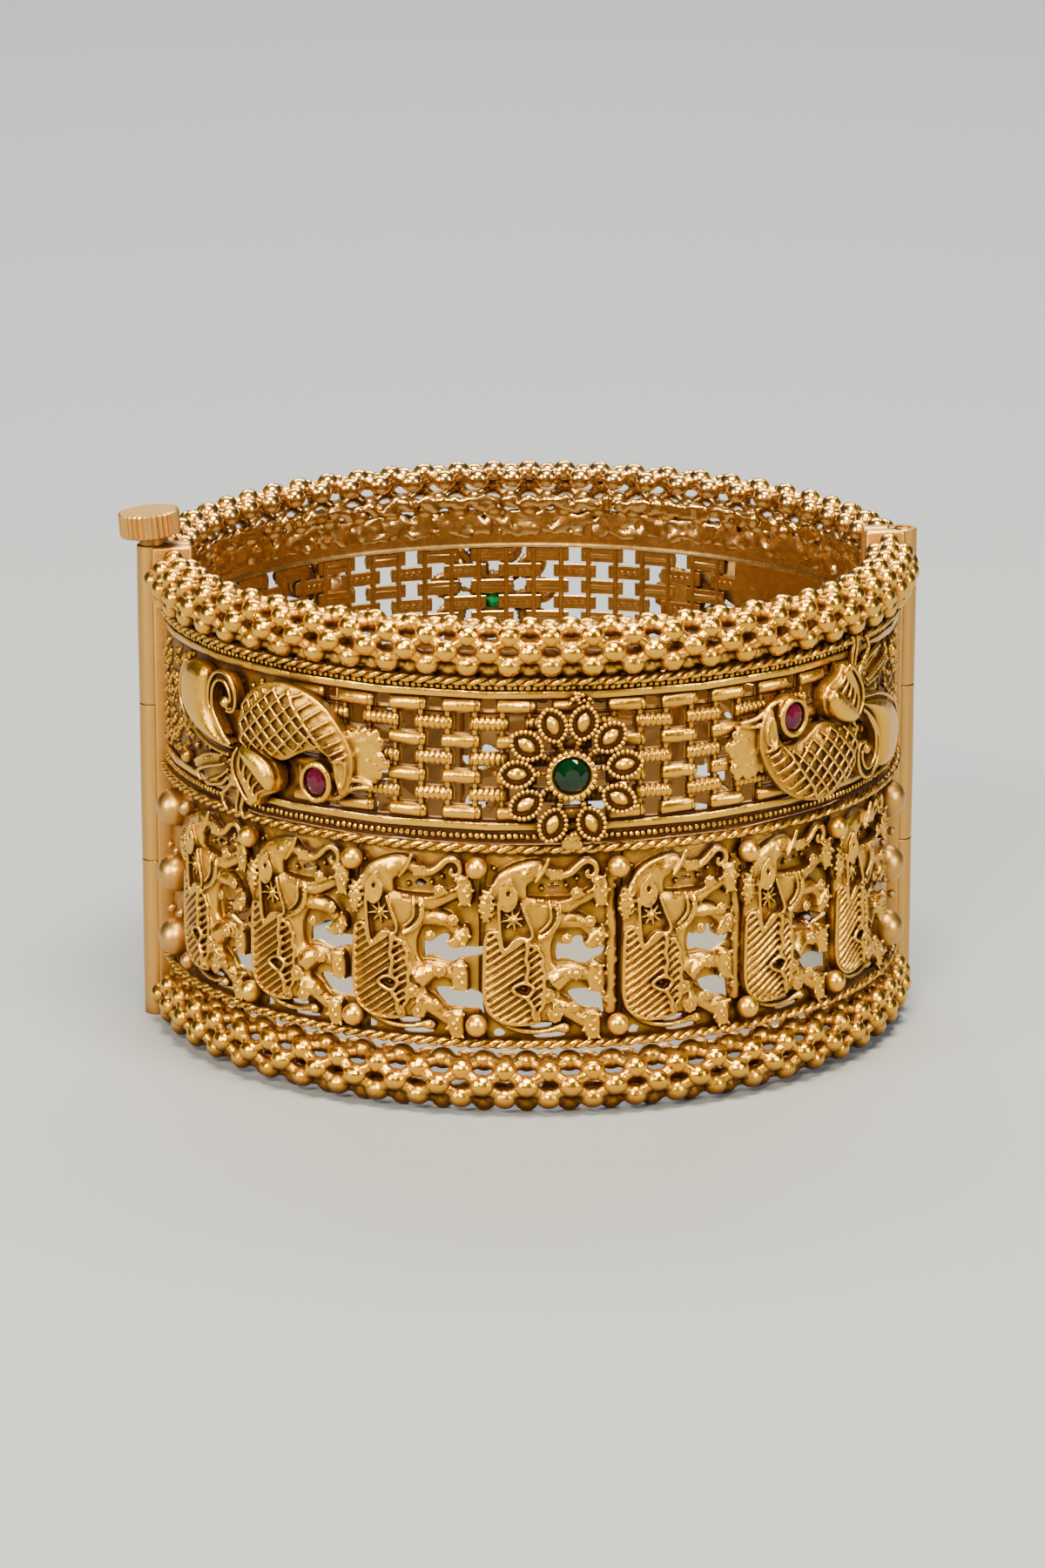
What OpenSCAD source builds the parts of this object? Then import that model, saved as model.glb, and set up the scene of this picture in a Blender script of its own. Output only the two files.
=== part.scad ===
// Hinged temple bracelet standing on its lower rim: two half rings of soldered
// filigree, a hinge pin on the right and a hand screw on the left.
// Millimetres, +Z up, origin at the centre of the ring on the surface it rests on.
// Each half is drawn with its middle towards -Y. Angles along a half are counted
// from its middle, positive towards the hinge end of the front half.

/* [Overall size] */
// Outer diameter over the beaded rims
outer_d = 68; // [66:0.5:70]
// Height from the foot to the top of the upper rim
total_h = 42.5; // [42.5:0.1:43]
// Turn of the joint line away from the X axis, degrees
joint_turn = 6; // [0:1:12]

/* [Beaded rims] */
// Radius of a rim's cross-section
rim_r = 2.6; // [2.5:0.05:2.65]
// Radius of one row of beads in that cross-section
bead_r = 0.9; // [0.8:0.05:0.95]
// Angle of the lowest bead row, below the outward direction
first_row = -90; // [-95:1:-85]
// Angle between bead rows round the cross-section
row_step = 45; // [40:1:45]
// Bead rows round the cross-section, which is open towards the wrist
bead_rows = 6; // [4:1:6]
// Thickness of the shell that joins the bead rows
rim_shell = 0.7; // [0.5:0.1:0.9]
// Depth worn flat where the lower rim rests
foot_flat = 0.06; // [0.02:0.02:0.1]

/* [Rope wires] */
// Radius of a rope wire
rope_r = 0.35; // [0.3:0.05:0.35]
// Ring radius of the rope wires
rope_ring = 32.3; // [32.3:0.05:32.4]
// Heights of the upper, middle and lower rope wires
rope_z = [37.2, 22.95, 6.05];

/* [Woven band] */
// Inner and outer radius of the band's sheet
band_in = 31.0; // [30.8:0.1:31.2]
band_out = 31.9; // [31.8:0.05:31.9]
// Lower and upper edge of the band
band_z = [23.35, 37.1];
// Heights of the two plain strips and of the two granulated lines
strip_z = [24.85, 36.05];
grain_z = [23.97, 36.65];
// Rows of rods on the front half, and on the back half under its wider top strip
front_rows = 7; // [6:1:7]
back_rows = 6; // [5:1:6]
// Height of the top row on the front half
top_row_z = 35.03; // [34.9:0.01:35.1]
// Distance between rows
row_pitch = 1.51; // [1.5:0.01:1.52]
// Angle from rod to rod in a row, front and back half
front_rod_step = 8.2; // [8:0.1:8.4]
back_rod_step = 9.3; // [9:0.1:9.5]
// Offset of the weave's middle along the half, degrees
weave_turn = 0.2; // [0:0.1:0.4]
// Gaps across one pierced row
gap_columns = 10; // [8:1:10]
// Width and height of one gap between the rods
gap_w = 1.3; // [1.1:0.1:1.5]
gap_h = 1.6; // [1.3:0.1:1.7]
// Radius of a row's ridge and the ring radius of its centre
ridge_r = 0.45; // [0.4:0.05:0.5]
ridge_ring = 32.05; // [32:0.05:32.1]

/* [Elephant plates] */
// Elephants in each half
elephants = 7; // [5:1:7]
// Angle from one elephant to the next
elephant_step = 19.8; // [19.5:0.1:19.8]
// Angle of the middle elephant, which is laid a little off centre
frieze_turn = -3; // [-4:0.5:-3]
// Seam left between two plates, degrees
plate_seam = 0.4; // [0.2:0.1:0.5]
// Inner and outer radius of a plate's ground
plate_in = 31.3; // [31.2:0.1:31.4]
plate_out = 31.9; // [31.8:0.05:31.9]
// Lower and upper edge of a plate
plate_z = [5.35, 23.25];
// Radius reached by the figure, its cloth and its ear
figure_out = 32.55; // [32.4:0.05:32.6]
cloth_out = 32.8; // [32.7:0.05:32.9]
ear_out = 33.0; // [32.9:0.05:33.1]

/* [Balls] */
// Radius of the small balls at the plates' corners
ball_r = 0.92; // [0.8:0.02:0.92]
// Radius of the three large balls beside each end of a half
big_ball_r = 1.7; // [1.5:0.05:1.75]
// Angles of the large balls' two columns
big_ball_turn = [-79.8, 70.2];
// Heights of the small balls
ball_z = [7.8, 21.35];
// Heights of the large balls
big_ball_z = [8.5, 14.3, 20.2];

/* [Flower] */
// Directions of the petals, seen from outside and counted up from the right
petal_turns = [10, 44, 77, 110, 145, 178, 213, 250, 292, 332];
// Distance of a petal's middle from the stone's middle
petal_ring = 4.5; // [4.5:0.05:4.6]
// Half length and half width of a petal
petal_half = [1.5, 1.15];
// Width of the wire round a petal
petal_wire = 0.4; // [0.3:0.05:0.45]
// Height of the flower's middle
flower_z = 29.5; // [29.3:0.1:30]
// Radius of the green stone
emerald_r = 1.6; // [1.5:0.05:1.65]

/* [Peacocks] */
// Angle between the half's middle and a bird's middle
bird_turn = 41.9; // [41:0.1:43]
// Offset of the pair of birds along the half, degrees
bird_shift = -1.6; // [-2:0.1:-1]
// Height about which the right bird is the left one turned over
bird_z = 30.3; // [30.1:0.1:30.5]
// Half width and half height of a red stone
ruby_half = [1.0, 1.2];

/* [Joint ends] */
// Distance of the hinge pin and the screw from the ring's axis
pin_ring = 33.0; // [32.8:0.1:33.2]
// Radius of the knuckles
knuckle_r = 1.25; // [1.2:0.05:1.3]
// Inner edge of an end plate
end_in = 29.5; // [29.4:0.1:30]
// Thickness of an end plate
end_t = 1.4; // [1.2:0.1:1.4]
// Radius of the pin and of the screw's shank
pin_r = 0.7; // [0.6:0.05:0.75]
// Running clearance of the pin and the shank in their bores
bore_gap = 0.05; // [0.03:0.01:0.08]
// Height of the end plates and knuckles
end_h = 42.3; // [42:0.1:42.4]

/* [Screw] */
// Radius and height of the knob
knob_r = 2.65; // [2.4:0.05:2.8]
knob_h = 2.1; // [1.8:0.1:2.4]
// Height of the knob's underside
knob_z = 43.2; // [43.1:0.1:43.5]
// Ridges round the knob
knob_ridges = 32; // [24:2:34]
// Depth of the grooves between the ridges
ridge_depth = 0.16; // [0.1:0.02:0.2]
// Lean of the knob away from the ring, degrees
knob_lean = 5; // [0:1:6]

/* [Hidden] */
$fn = 64;
GOLD = "darkgoldenrod";
BRIGHT = "goldenrod";
FRONT = 0; // turn of the front half
BACK = 180; // turn of the back half
SMALL_GAP = 0.05; // gap between pieces that lie against each other

rim_ring = outer_d / 2 - rim_r; // ring radius of the rims' centres
row_r = rim_r - bead_r; // distance of a bead row from the rim's centre
end_angle = 86.75; // where rims, wires and bands stop short of the end plates
knuckle_h = end_h / 3;
knuckle_gap = 0.15; // between two knuckles
notch_gap = 0.12; // round another half's knuckle
half_plate = elephant_step / 2 - plate_seam / 2;

// Puts what is drawn round -Y into place as part of one half
module half(turn) { rotate([0, 0, turn + joint_turn]) children(); }

// Turns what is drawn round -Y to an angle along the half
module along(angle) { rotate([0, 0, angle]) children(); }

// A section drawn at its radius and height, swept between two angles of a half
module sweep(from, to) {
  rotate([0, 0, from - 90]) rotate_extrude(angle = to - from) children();
}

// An outline in width and height, drawn out radially between two radii
module radial(r1, r2) {
  rotate([90, 0, 0]) translate([0, 0, r1]) linear_extrude(r2 - r1) children();
}

// A strip along a path of [along, up, half width]
module ribbon(path) {
  last = len(path) - 1;
  dir = [for (i = [0:last]) let (a = path[max(i - 1, 0)], b = path[min(i + 1, last)],
    d = [b[0] - a[0], b[1] - a[1]]) d / norm(d)];
  left = [for (i = [0:last]) [path[i][0] - dir[i][1] * path[i][2], path[i][1] + dir[i][0] * path[i][2]]];
  right = [for (i = [last:-1:0]) [path[i][0] + dir[i][1] * path[i][2], path[i][1] - dir[i][0] * path[i][2]]];
  polygon(concat(left, right));
}

// Rims

module rim_section() {
  for (i = [0:bead_rows - 1]) rotate(first_row + row_step * i) translate([row_r, 0]) circle(bead_r);
  last_row = first_row + row_step * (bead_rows - 1);
  difference() {
    circle(row_r + rim_shell / 2);
    circle(row_r - rim_shell / 2);
    rotate(last_row) square([2 * rim_r, 2 * rim_r]);
    rotate(first_row - 90) square([2 * rim_r, 2 * rim_r]);
  }
}

module top_rim() {
  color(BRIGHT) sweep(-end_angle, end_angle) translate([rim_ring, total_h - rim_r]) rim_section();
}

module bottom_rim() {
  foot_w = 2 * rim_r;
  color(BRIGHT) sweep(-end_angle, end_angle) difference() {
    translate([rim_ring, rim_r - foot_flat]) rim_section();
    translate([rim_ring - rim_r, -foot_w]) square([foot_w, foot_w]);
  }
}

// Rope wires and the woven band

module rope(z) {
  color(BRIGHT) sweep(-end_angle, end_angle) translate([rope_ring, z]) circle(rope_r);
}

strip_out = 32.2; // radius reached by a plain strip
strip_h = 0.55; // height of a plain strip
grain_r = 0.27; // radius of a granulated line

module band_section(rows, top_z) {
  translate([band_in, band_z[0]]) square([band_out - band_in, band_z[1] - band_z[0]]);
  for (z = strip_z) translate([band_out - SMALL_GAP, z - strip_h / 2]) square([strip_out - band_out, strip_h]);
  for (z = grain_z) translate([band_out, z]) circle(grain_r);
  for (i = [0:rows - 1]) translate([ridge_ring, top_z - i * row_pitch]) circle(ridge_r);
}

// Every second row of gaps is cut through, the staggered rows between them are left closed
module weave_band(rows, rod_step) {
  top_z = top_row_z - (front_rows - rows) * row_pitch;
  color(GOLD) difference() {
    sweep(-end_angle, end_angle) band_section(rows, top_z);
    for (i = [0:2:rows - 1], c = [0:gap_columns - 1])
      along(weave_turn + (c - (gap_columns - 1) / 2) * rod_step)
        radial(band_in - 1, strip_out + 1) translate([-gap_w / 2, top_z - i * row_pitch - gap_h / 2])
          square([gap_w, gap_h]);
  }
}

// Elephant plates: width from the plate's middle, height above the foot

figure = [[-4.9, 18.8], [-4.3, 20.5], [-3.2, 21.3], [-1.6, 21.9], [-0.3, 21.8], [0.1, 21.2], [-0.4, 20.5],
  [-1.5, 20.0], [-1.9, 18.4], [0.9, 18.3], [2.2, 18.0], [2.0, 16.2], [0.6, 15.4], [0.3, 13.4], [0.4, 11.8],
  [1.3, 9.6], [0.4, 8.1], [-1.2, 7.75], [-3.4, 7.8], [-4.8, 9.1], [-5.1, 11.0], [-5.2, 13.5], [-5.1, 16.5]];
cloth = [[-5.0, 16.0], [-4.2, 16.2], [-3.9, 14.2], [-2.8, 15.0], [-1.1, 15.5], [-0.7, 15.0], [-0.5, 13.0],
  [-0.3, 11.2], [-0.7, 9.6], [-0.8, 8.2], [-3.4, 8.1], [-4.6, 9.3], [-4.95, 11.2], [-5.0, 13.5]];
upper_foreleg = [[1.2, 17.2, 0.95], [2.6, 17.8, 0.7], [3.9, 18.6, 0.6]];
lower_foreleg = [[1.3, 16.5, 0.8], [2.9, 16.2, 0.7], [3.9, 15.8, 0.6]];
upper_hindleg = [[0.3, 11.2, 1.5], [1.8, 12.0, 0.9], [3.6, 11.7, 0.55]];
lower_hindleg = [[0.2, 9.2, 1.0], [1.9, 8.6, 0.7], [3.4, 7.7, 0.6]];
feet = [[[3.6, 19.9], [4.5, 20.3], [5.0, 18.9], [3.9, 17.6]], [[3.3, 15.2], [4.4, 16.3], [4.9, 15.4], [3.5, 14.4]],
  [[3.4, 12.7], [4.6, 12.8], [4.6, 10.5], [3.3, 10.6]], [[3.0, 8.7], [4.4, 8.5], [4.3, 6.6], [3.3, 6.6]]];
trunk = [[-0.4, 21.3, 0.5], [0.7, 20.8, 0.42], [1.8, 20.85, 0.38], [2.7, 21.4, 0.36], [3.4, 21.75, 0.34],
  [4.0, 21.2, 0.32], [3.85, 20.5, 0.28], [3.3, 20.5, 0.24]];
tusk = [[-1.0, 20.3, 0.2], [-0.1, 22.2, 0.12]];
tail = [[-3.6, 8.0, 0.25], [-1.9, 7.2, 0.25], [0.1, 7.3, 0.25], [1.4, 7.5, 0.4]];
fore_gap = [[0.8, 15.0], [3.0, 14.2], [4.8, 14.3], [4.8, 13.1], [3.2, 13.0], [1.4, 13.2], [0.7, 13.0]];
hind_gap = [[1.8, 10.5], [3.2, 10.4], [4.8, 10.2], [4.8, 9.0], [2.9, 8.9], [2.2, 9.4]];
tail_gap = [[-1.6, 6.85], [1.8, 6.85], [2.2, 6.6], [-1.4, 6.55]];
ear_middle = [-3.55, 18.9];
ear_size = 0.85;
crest_middle = [-4.45, 17.6];
crest_size = 0.75;
star_middle = [-3.0, 17.0];
star_size = 0.7;

module plate_section(r1, r2) {
  translate([r1, plate_z[0]]) square([r2 - r1, plate_z[1] - plate_z[0]]);
}

module plate_sector(r1, r2) {
  sweep(-half_plate, half_plate) plate_section(r1, r2);
}

module figure_outline() {
  polygon(figure);
  for (limb = [upper_foreleg, lower_foreleg, upper_hindleg, lower_hindleg, trunk, tusk, tail]) ribbon(limb);
  for (foot = feet) polygon(foot);
}

module star_outline(points, r) {
  polygon([for (i = [0:2 * points - 1]) let (a = 180 * i / points, s = i % 2 == 0 ? r : 0.45 * r)
    [s * cos(a), s * sin(a)]]);
}

// One layer of relief, cut to the curve of the plate
module relief(top) {
  intersection() {
    radial(band_in, outer_d / 2) children();
    plate_sector(plate_in, top);
  }
}

module elephant(k) {
  color(GOLD) along(frieze_turn + (k - (elephants + 1) / 2) * elephant_step) difference() {
    union() {
      plate_sector(plate_in, plate_out);
      relief(figure_out) figure_outline();
      relief(cloth_out) polygon(cloth);
      relief(ear_out) translate(ear_middle) circle(ear_size);
      relief(ear_out) translate(crest_middle) circle(crest_size);
      relief(cloth_out) translate(star_middle) star_outline(8, star_size);
    }
    radial(band_in, plate_out + SMALL_GAP) for (gap = [fore_gap, hind_gap, tail_gap]) polygon(gap);
  }
}

// Small balls, one above and one below each seam between two plates

ball_ring = plate_out + SMALL_GAP + ball_r;

module balls() {
  color(BRIGHT) for (k = [1:elephants - 1], z = ball_z)
    along(frieze_turn + (k - elephants / 2) * elephant_step) translate([0, -ball_ring, z]) sphere(ball_r);
}

// Flower

flower_back = 32.6; // radius of the flower's back
petal_front = 33.3; // radius reached by a petal's wire
boss_front = 33.5; // radius reached by a petal's boss
seat_front = 33.75; // radius reached by the stone's seat
seat_wall = 0.5; // wall of the stone's seat
stone_gap = 0.06; // between a stone and its seat

// A pointed oval, the overlap of two discs
module marquise(half_l, half_w) {
  disc_r = (half_l * half_l + half_w * half_w) / (2 * half_w);
  intersection() {
    translate([0, disc_r - half_w]) circle(disc_r);
    translate([0, half_w - disc_r]) circle(disc_r);
  }
}

module petal() {
  radial(flower_back, petal_front) difference() {
    marquise(petal_half[0] + 0.1, petal_half[1] + 0.1);
    marquise(petal_half[0] - petal_wire, petal_half[1] - petal_wire);
  }
  radial(flower_back, flower_back + 0.3) marquise(petal_half[0] - 0.1, petal_half[1] - 0.1);
  radial(flower_back, boss_front) marquise(0.85, 0.4);
}

module flower() {
  seat_r = emerald_r + stone_gap;
  spoke_half = 0.25;
  color(BRIGHT) translate([0, 0, flower_z]) difference() {
    union() {
      for (turn = petal_turns) rotate([0, -turn, 0]) {
        translate([petal_ring, 0, 0]) petal();
        radial(flower_back, petal_front) translate([seat_r, -spoke_half])
          square([petal_ring - petal_half[0] - seat_r + 0.3, 2 * spoke_half]);
      }
      radial(flower_back, seat_front) circle(seat_r + seat_wall);
    }
    radial(flower_back + 0.35, seat_front + 1) circle(seat_r);
    radial(flower_back - 1, seat_front) circle(emerald_r * 0.6);
  }
}

// A faceted stone, table outwards: half width, half height, radius of its girdle
module gem(half_w, half_h, girdle_at) {
  crown = 0.45 * half_w;
  depth = 0.3 * half_w;
  translate([0, -girdle_at, 0]) rotate([90, 0, 0]) scale([1, half_h / half_w, 1]) hull() {
    cylinder(r = half_w, h = 0.1, center = true, $fn = 16);
    translate([0, 0, crown]) rotate(22.5) cylinder(r = 0.58 * half_w, h = 0.02, $fn = 8);
    translate([0, 0, -depth]) cylinder(r = 0.5 * half_w, h = 0.02, $fn = 8);
  }
}

module emerald() {
  color("darkgreen") translate([0, 0, flower_z]) gem(emerald_r, emerald_r, 33.5);
}

// Peacocks: along the ring from the bird's middle at radius bird_r, height above bird_z,
// half width, radius reached by the rounded top

bird_r = 34.3; // radius at which lengths along a bird are counted
bird_base = 32.55; // radius of a bird's underside
dome_h = 0.45; // height of the rounded top
body_path = [[-4.0, 1.2, 1.3, 33.9], [-2.6, 1.9, 2.5, 34.3], [-0.6, 2.2, 2.9, 34.5], [1.4, 2.2, 2.5, 34.5],
  [3.2, 1.8, 1.9, 34.4], [4.7, 1.0, 1.4, 34.2], [5.6, -0.3, 1.05, 34.1], [6.0, -1.8, 0.7, 34.0],
  [5.9, -3.0, 0.35, 33.8]];
beak_path = [[4.4, -3.9, 0.4, 33.6], [6.2, -3.7, 0.45, 33.7], [7.6, -2.8, 0.4, 33.6], [8.8, -2.2, 0.25, 33.4]];
wing_path = [[-2.4, -1.8, 1.4, 34.6], [-4.4, -2.4, 1.7, 34.4], [-3.8, -3.9, 1.2, 34.1], [-3.4, -5.3, 0.4, 33.7]];
scroll_path = [[-5.6, -0.7, 0.3, 33.6], [-7.5, 1.3, 0.3, 33.7], [-8.3, 3.3, 0.3, 33.7], [-7.5, 4.9, 0.3, 33.7],
  [-6.3, 4.7, 0.3, 33.7], [-6.0, 3.4, 0.3, 33.7], [-6.6, 2.6, 0.45, 33.8]];
tail_path = [[-5.6, -1.4, 0.5, 33.6], [-8.4, -0.5, 0.8, 33.6], [-10.8, 0.6, 1.1, 33.6], [-12.6, 2.2, 0.9, 33.5],
  [-13.2, 3.4, 0.4, 33.4]];
ruby_at = [3.5, -2.4]; // middle of the red stone, along and up
bezel_wall = 0.45;
bezel_out = 34.25; // radius reached by the bezel

// A place on the ring seen from the middle of the half: side is -1 for the left bird, 1 for the right one
module on_bird(side, s, z) {
  along(bird_shift - side * (180 / PI * s / bird_r - bird_turn)) translate([0, 0, bird_z - side * z]) children();
}

module stud(p) {
  r = p[2];
  foot = p[3] - dome_h;
  rotate([90, 0, 0]) {
    translate([0, 0, bird_base]) cylinder(r = r, h = foot - bird_base, $fn = 16);
    translate([0, 0, foot]) cylinder(r1 = r, r2 = 0.82 * r, h = 0.6 * dome_h, $fn = 16);
    translate([0, 0, foot + 0.6 * dome_h]) cylinder(r1 = 0.82 * r, r2 = 0.4 * r, h = 0.4 * dome_h, $fn = 16);
  }
}

module stud_chain(side, path) {
  for (i = [0:len(path) - 2]) hull() {
    on_bird(side, path[i][0], path[i][1]) stud(path[i]);
    on_bird(side, path[i + 1][0], path[i + 1][1]) stud(path[i + 1]);
  }
}

module peacock(side) {
  seat = [ruby_half[0] + stone_gap, ruby_half[1] + stone_gap];
  color(BRIGHT) difference() {
    union() {
      for (path = [body_path, beak_path, wing_path, scroll_path, tail_path]) stud_chain(side, path);
      on_bird(side, ruby_at[0], ruby_at[1]) radial(bird_base, bezel_out)
        scale([1, (seat[1] + bezel_wall) / (seat[0] + bezel_wall)]) circle(seat[0] + bezel_wall, $fn = 24);
    }
    on_bird(side, ruby_at[0], ruby_at[1]) radial(bezel_out - 1.0, bezel_out + 1)
      scale([1, seat[1] / seat[0]]) circle(seat[0], $fn = 24);
  }
}

module ruby(side) {
  color("crimson") on_bird(side, ruby_at[0], ruby_at[1]) gem(ruby_half[0], ruby_half[1], 33.9);
}

// Joint ends: end is -1 where the screw is and 1 at the hinge on the front half

module knuckle(end, level) {
  z0 = level * knuckle_h + (level > 0 ? knuckle_gap / 2 : 0);
  z1 = (level + 1) * knuckle_h - (level < 2 ? knuckle_gap / 2 : 0);
  translate([end * pin_ring, 0, z0]) cylinder(r = knuckle_r, h = z1 - z0);
}

// Room for a knuckle of the other half
module knuckle_notch(end, level) {
  z0 = level * knuckle_h - notch_gap / 2;
  translate([end * pin_ring, 0, level > 0 ? z0 : -1])
    cylinder(r = knuckle_r + notch_gap, h = level > 0 && level < 2 ? knuckle_h + notch_gap : knuckle_h + 1 + notch_gap / 2);
}

big_ball_ring = 32.0; // ring radius of the large balls
panel_end = 88; // angle at which the end panel runs into the end plate

// The plain panel between the last elephant and the end plate, with its column of large balls
module end_panel(end) {
  edge = frieze_turn + end * (elephants * elephant_step + plate_seam) / 2;
  column = big_ball_turn[end > 0 ? 1 : 0];
  sweep(min(edge, end * panel_end), max(edge, end * panel_end)) plate_section(plate_in, plate_out);
  difference() {
    for (z = big_ball_z) along(column) translate([0, -big_ball_ring, z]) sphere(big_ball_r);
    cylinder(r = (plate_in + plate_out) / 2, h = end_h);
  }
}

module joint_end(end, own, other) {
  plate_w = pin_ring - end_in;
  color(BRIGHT) difference() {
    union() {
      end_panel(end);
      difference() {
        translate([end > 0 ? end_in : -pin_ring, -SMALL_GAP - end_t, 0]) cube([plate_w, end_t, end_h]);
        for (level = other) knuckle_notch(end, level);
      }
      for (level = own) knuckle(end, level);
    }
    translate([end * pin_ring, 0, -1]) cylinder(r = pin_r + bore_gap, h = end_h + 2);
  }
}

module hinge_pin() {
  color(GOLD) along(joint_turn) translate([pin_ring, 0, 0.1]) cylinder(r = pin_r, h = end_h - 0.2);
}

// The shank ends just above the middle knuckle, so the hinge can open with the screw in place
module screw() {
  shank_z = 2 * knuckle_h + 0.3;
  neck_r = 1.05;
  neck_z = end_h + SMALL_GAP;
  knob_points = [for (i = [0:2 * knob_ridges - 1]) let (a = 180 * i / knob_ridges,
    r = i % 2 == 0 ? knob_r : knob_r - ridge_depth) [r * cos(a), r * sin(a)]];
  color(BRIGHT) along(joint_turn) translate([-pin_ring, 0, 0]) {
    translate([0, 0, shank_z]) cylinder(r = pin_r, h = knob_z + 0.3 - shank_z);
    translate([0, 0, neck_z]) cylinder(r = neck_r, h = knob_z + 0.3 - neck_z);
    translate([0, 0, knob_z]) rotate([0, -knob_lean, 0]) {
      linear_extrude(knob_h - 0.15) polygon(knob_points);
      translate([0, 0, knob_h - 0.2]) cylinder(r1 = knob_r - ridge_depth, r2 = knob_r - 0.4, h = 0.2);
    }
  }
}

// Front half

half(FRONT) top_rim();  // front_top_rim
half(FRONT) bottom_rim();  // front_bottom_rim
half(FRONT) weave_band(front_rows, front_rod_step);  // front_weave_band
half(FRONT) rope(rope_z[0]);  // front_rope_top
half(FRONT) rope(rope_z[1]);  // front_rope_middle
half(FRONT) rope(rope_z[2]);  // front_rope_bottom
half(FRONT) elephant(1);  // front_elephant_1
half(FRONT) elephant(2);  // front_elephant_2
half(FRONT) elephant(3);  // front_elephant_3
half(FRONT) elephant(4);  // front_elephant_4
half(FRONT) elephant(5);  // front_elephant_5
half(FRONT) elephant(6);  // front_elephant_6
half(FRONT) elephant(7);  // front_elephant_7
half(FRONT) balls();  // front_balls
half(FRONT) flower();  // front_flower
half(FRONT) emerald();  // front_emerald
half(FRONT) peacock(-1);  // front_left_peacock
half(FRONT) peacock(1);  // front_right_peacock
half(FRONT) ruby(-1);  // front_left_ruby
half(FRONT) ruby(1);  // front_right_ruby
half(FRONT) joint_end(-1, [0, 2], [1]);  // front_screw_end
half(FRONT) joint_end(1, [0, 2], [1]);  // front_hinge_end

// Back half, whose screw end is the one that meets the front half's on the left

half(BACK) top_rim();  // back_top_rim
half(BACK) bottom_rim();  // back_bottom_rim
half(BACK) weave_band(back_rows, back_rod_step);  // back_weave_band
half(BACK) rope(rope_z[0]);  // back_rope_top
half(BACK) rope(rope_z[1]);  // back_rope_middle
half(BACK) rope(rope_z[2]);  // back_rope_bottom
half(BACK) elephant(1);  // back_elephant_1
half(BACK) elephant(2);  // back_elephant_2
half(BACK) elephant(3);  // back_elephant_3
half(BACK) elephant(4);  // back_elephant_4
half(BACK) elephant(5);  // back_elephant_5
half(BACK) elephant(6);  // back_elephant_6
half(BACK) elephant(7);  // back_elephant_7
half(BACK) balls();  // back_balls
half(BACK) flower();  // back_flower
half(BACK) emerald();  // back_emerald
half(BACK) peacock(-1);  // back_left_peacock
half(BACK) peacock(1);  // back_right_peacock
half(BACK) ruby(-1);  // back_left_ruby
half(BACK) ruby(1);  // back_right_ruby
half(BACK) joint_end(1, [1], [0, 2]);  // back_screw_end
half(BACK) joint_end(-1, [1], [0, 2]);  // back_hinge_end

hinge_pin();
screw();
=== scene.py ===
# %% [markdown]
# A hinged temple bracelet in antique gold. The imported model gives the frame: two half rings that
# open on a hinge, and a screw that lifts out. This lesson first sets the camera and mixes the
# metals, then dresses that frame, piece by piece, and ends with the floor and the light.

# %% The frame
import bpy
import math
import random
from mathutils import Matrix, Vector
from mathutils.kdtree import KDTree


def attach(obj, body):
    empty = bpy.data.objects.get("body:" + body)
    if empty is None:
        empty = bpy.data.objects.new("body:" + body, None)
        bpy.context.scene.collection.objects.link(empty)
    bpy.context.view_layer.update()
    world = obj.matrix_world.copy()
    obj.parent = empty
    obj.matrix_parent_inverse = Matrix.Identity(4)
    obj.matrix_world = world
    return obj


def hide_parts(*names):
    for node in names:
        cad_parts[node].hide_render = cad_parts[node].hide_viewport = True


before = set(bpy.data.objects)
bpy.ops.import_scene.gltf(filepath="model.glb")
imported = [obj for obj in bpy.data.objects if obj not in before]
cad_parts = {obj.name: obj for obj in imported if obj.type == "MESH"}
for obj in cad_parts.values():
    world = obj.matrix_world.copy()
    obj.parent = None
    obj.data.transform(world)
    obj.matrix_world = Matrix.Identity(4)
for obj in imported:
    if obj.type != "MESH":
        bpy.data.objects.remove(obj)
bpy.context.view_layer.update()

# %% [markdown]
# The camera stands where the photographer stood: half a metre off, looking down by 15 degrees,
# with a long lens. It comes first, so that every later piece can be judged from it.

# %% Camera
IMAGE_H = 1800  # pixels
FOCAL_PX = 6370.0
SENSOR_MM = 36.0
LOOK_DOWN = 0.2635  # radians

camera_data = bpy.data.cameras.new("camera")
camera_data.sensor_width = SENSOR_MM
camera_data.lens = FOCAL_PX / IMAGE_H * SENSOR_MM
camera_data.clip_start = 0.01
camera = bpy.data.objects.new("camera", camera_data)
camera.location = (-0.00061, -0.4732, 0.1475)
camera.rotation_euler = (math.pi / 2 - LOOK_DOWN, 0, 0)
bpy.context.scene.collection.objects.link(camera)
bpy.context.scene.camera = camera
print("lens", round(camera_data.lens, 1), "mm")

# %% [markdown]
# Everything is modelled in millimetres and flat, as the smith works: x along the band, z up and
# -y towards the viewer, with y = 0 at the mandrel's radius. A Simple Deform bend then rolls a
# strip round the mandrel, and one matrix sets it into its half of the ring, in metres.

# %% Helpers: select, join, copy
MM = 0.001
MANDREL = 32.0  # radius that a flat strip is rolled to
JOINT_TURN = 6.0  # degrees between the joint line and the X axis
HALF_TURN = {"front": JOINT_TURN, "back": JOINT_TURN + 180.0}
END_ANGLE = 86.75  # where wires and bands stop short of the end plates


def only(*objects):
    """Selects just these objects, the first one active."""
    bpy.ops.object.select_all(action="DESELECT")
    for o in objects:
        o.select_set(True)
    bpy.context.view_layer.objects.active = objects[0]


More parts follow.
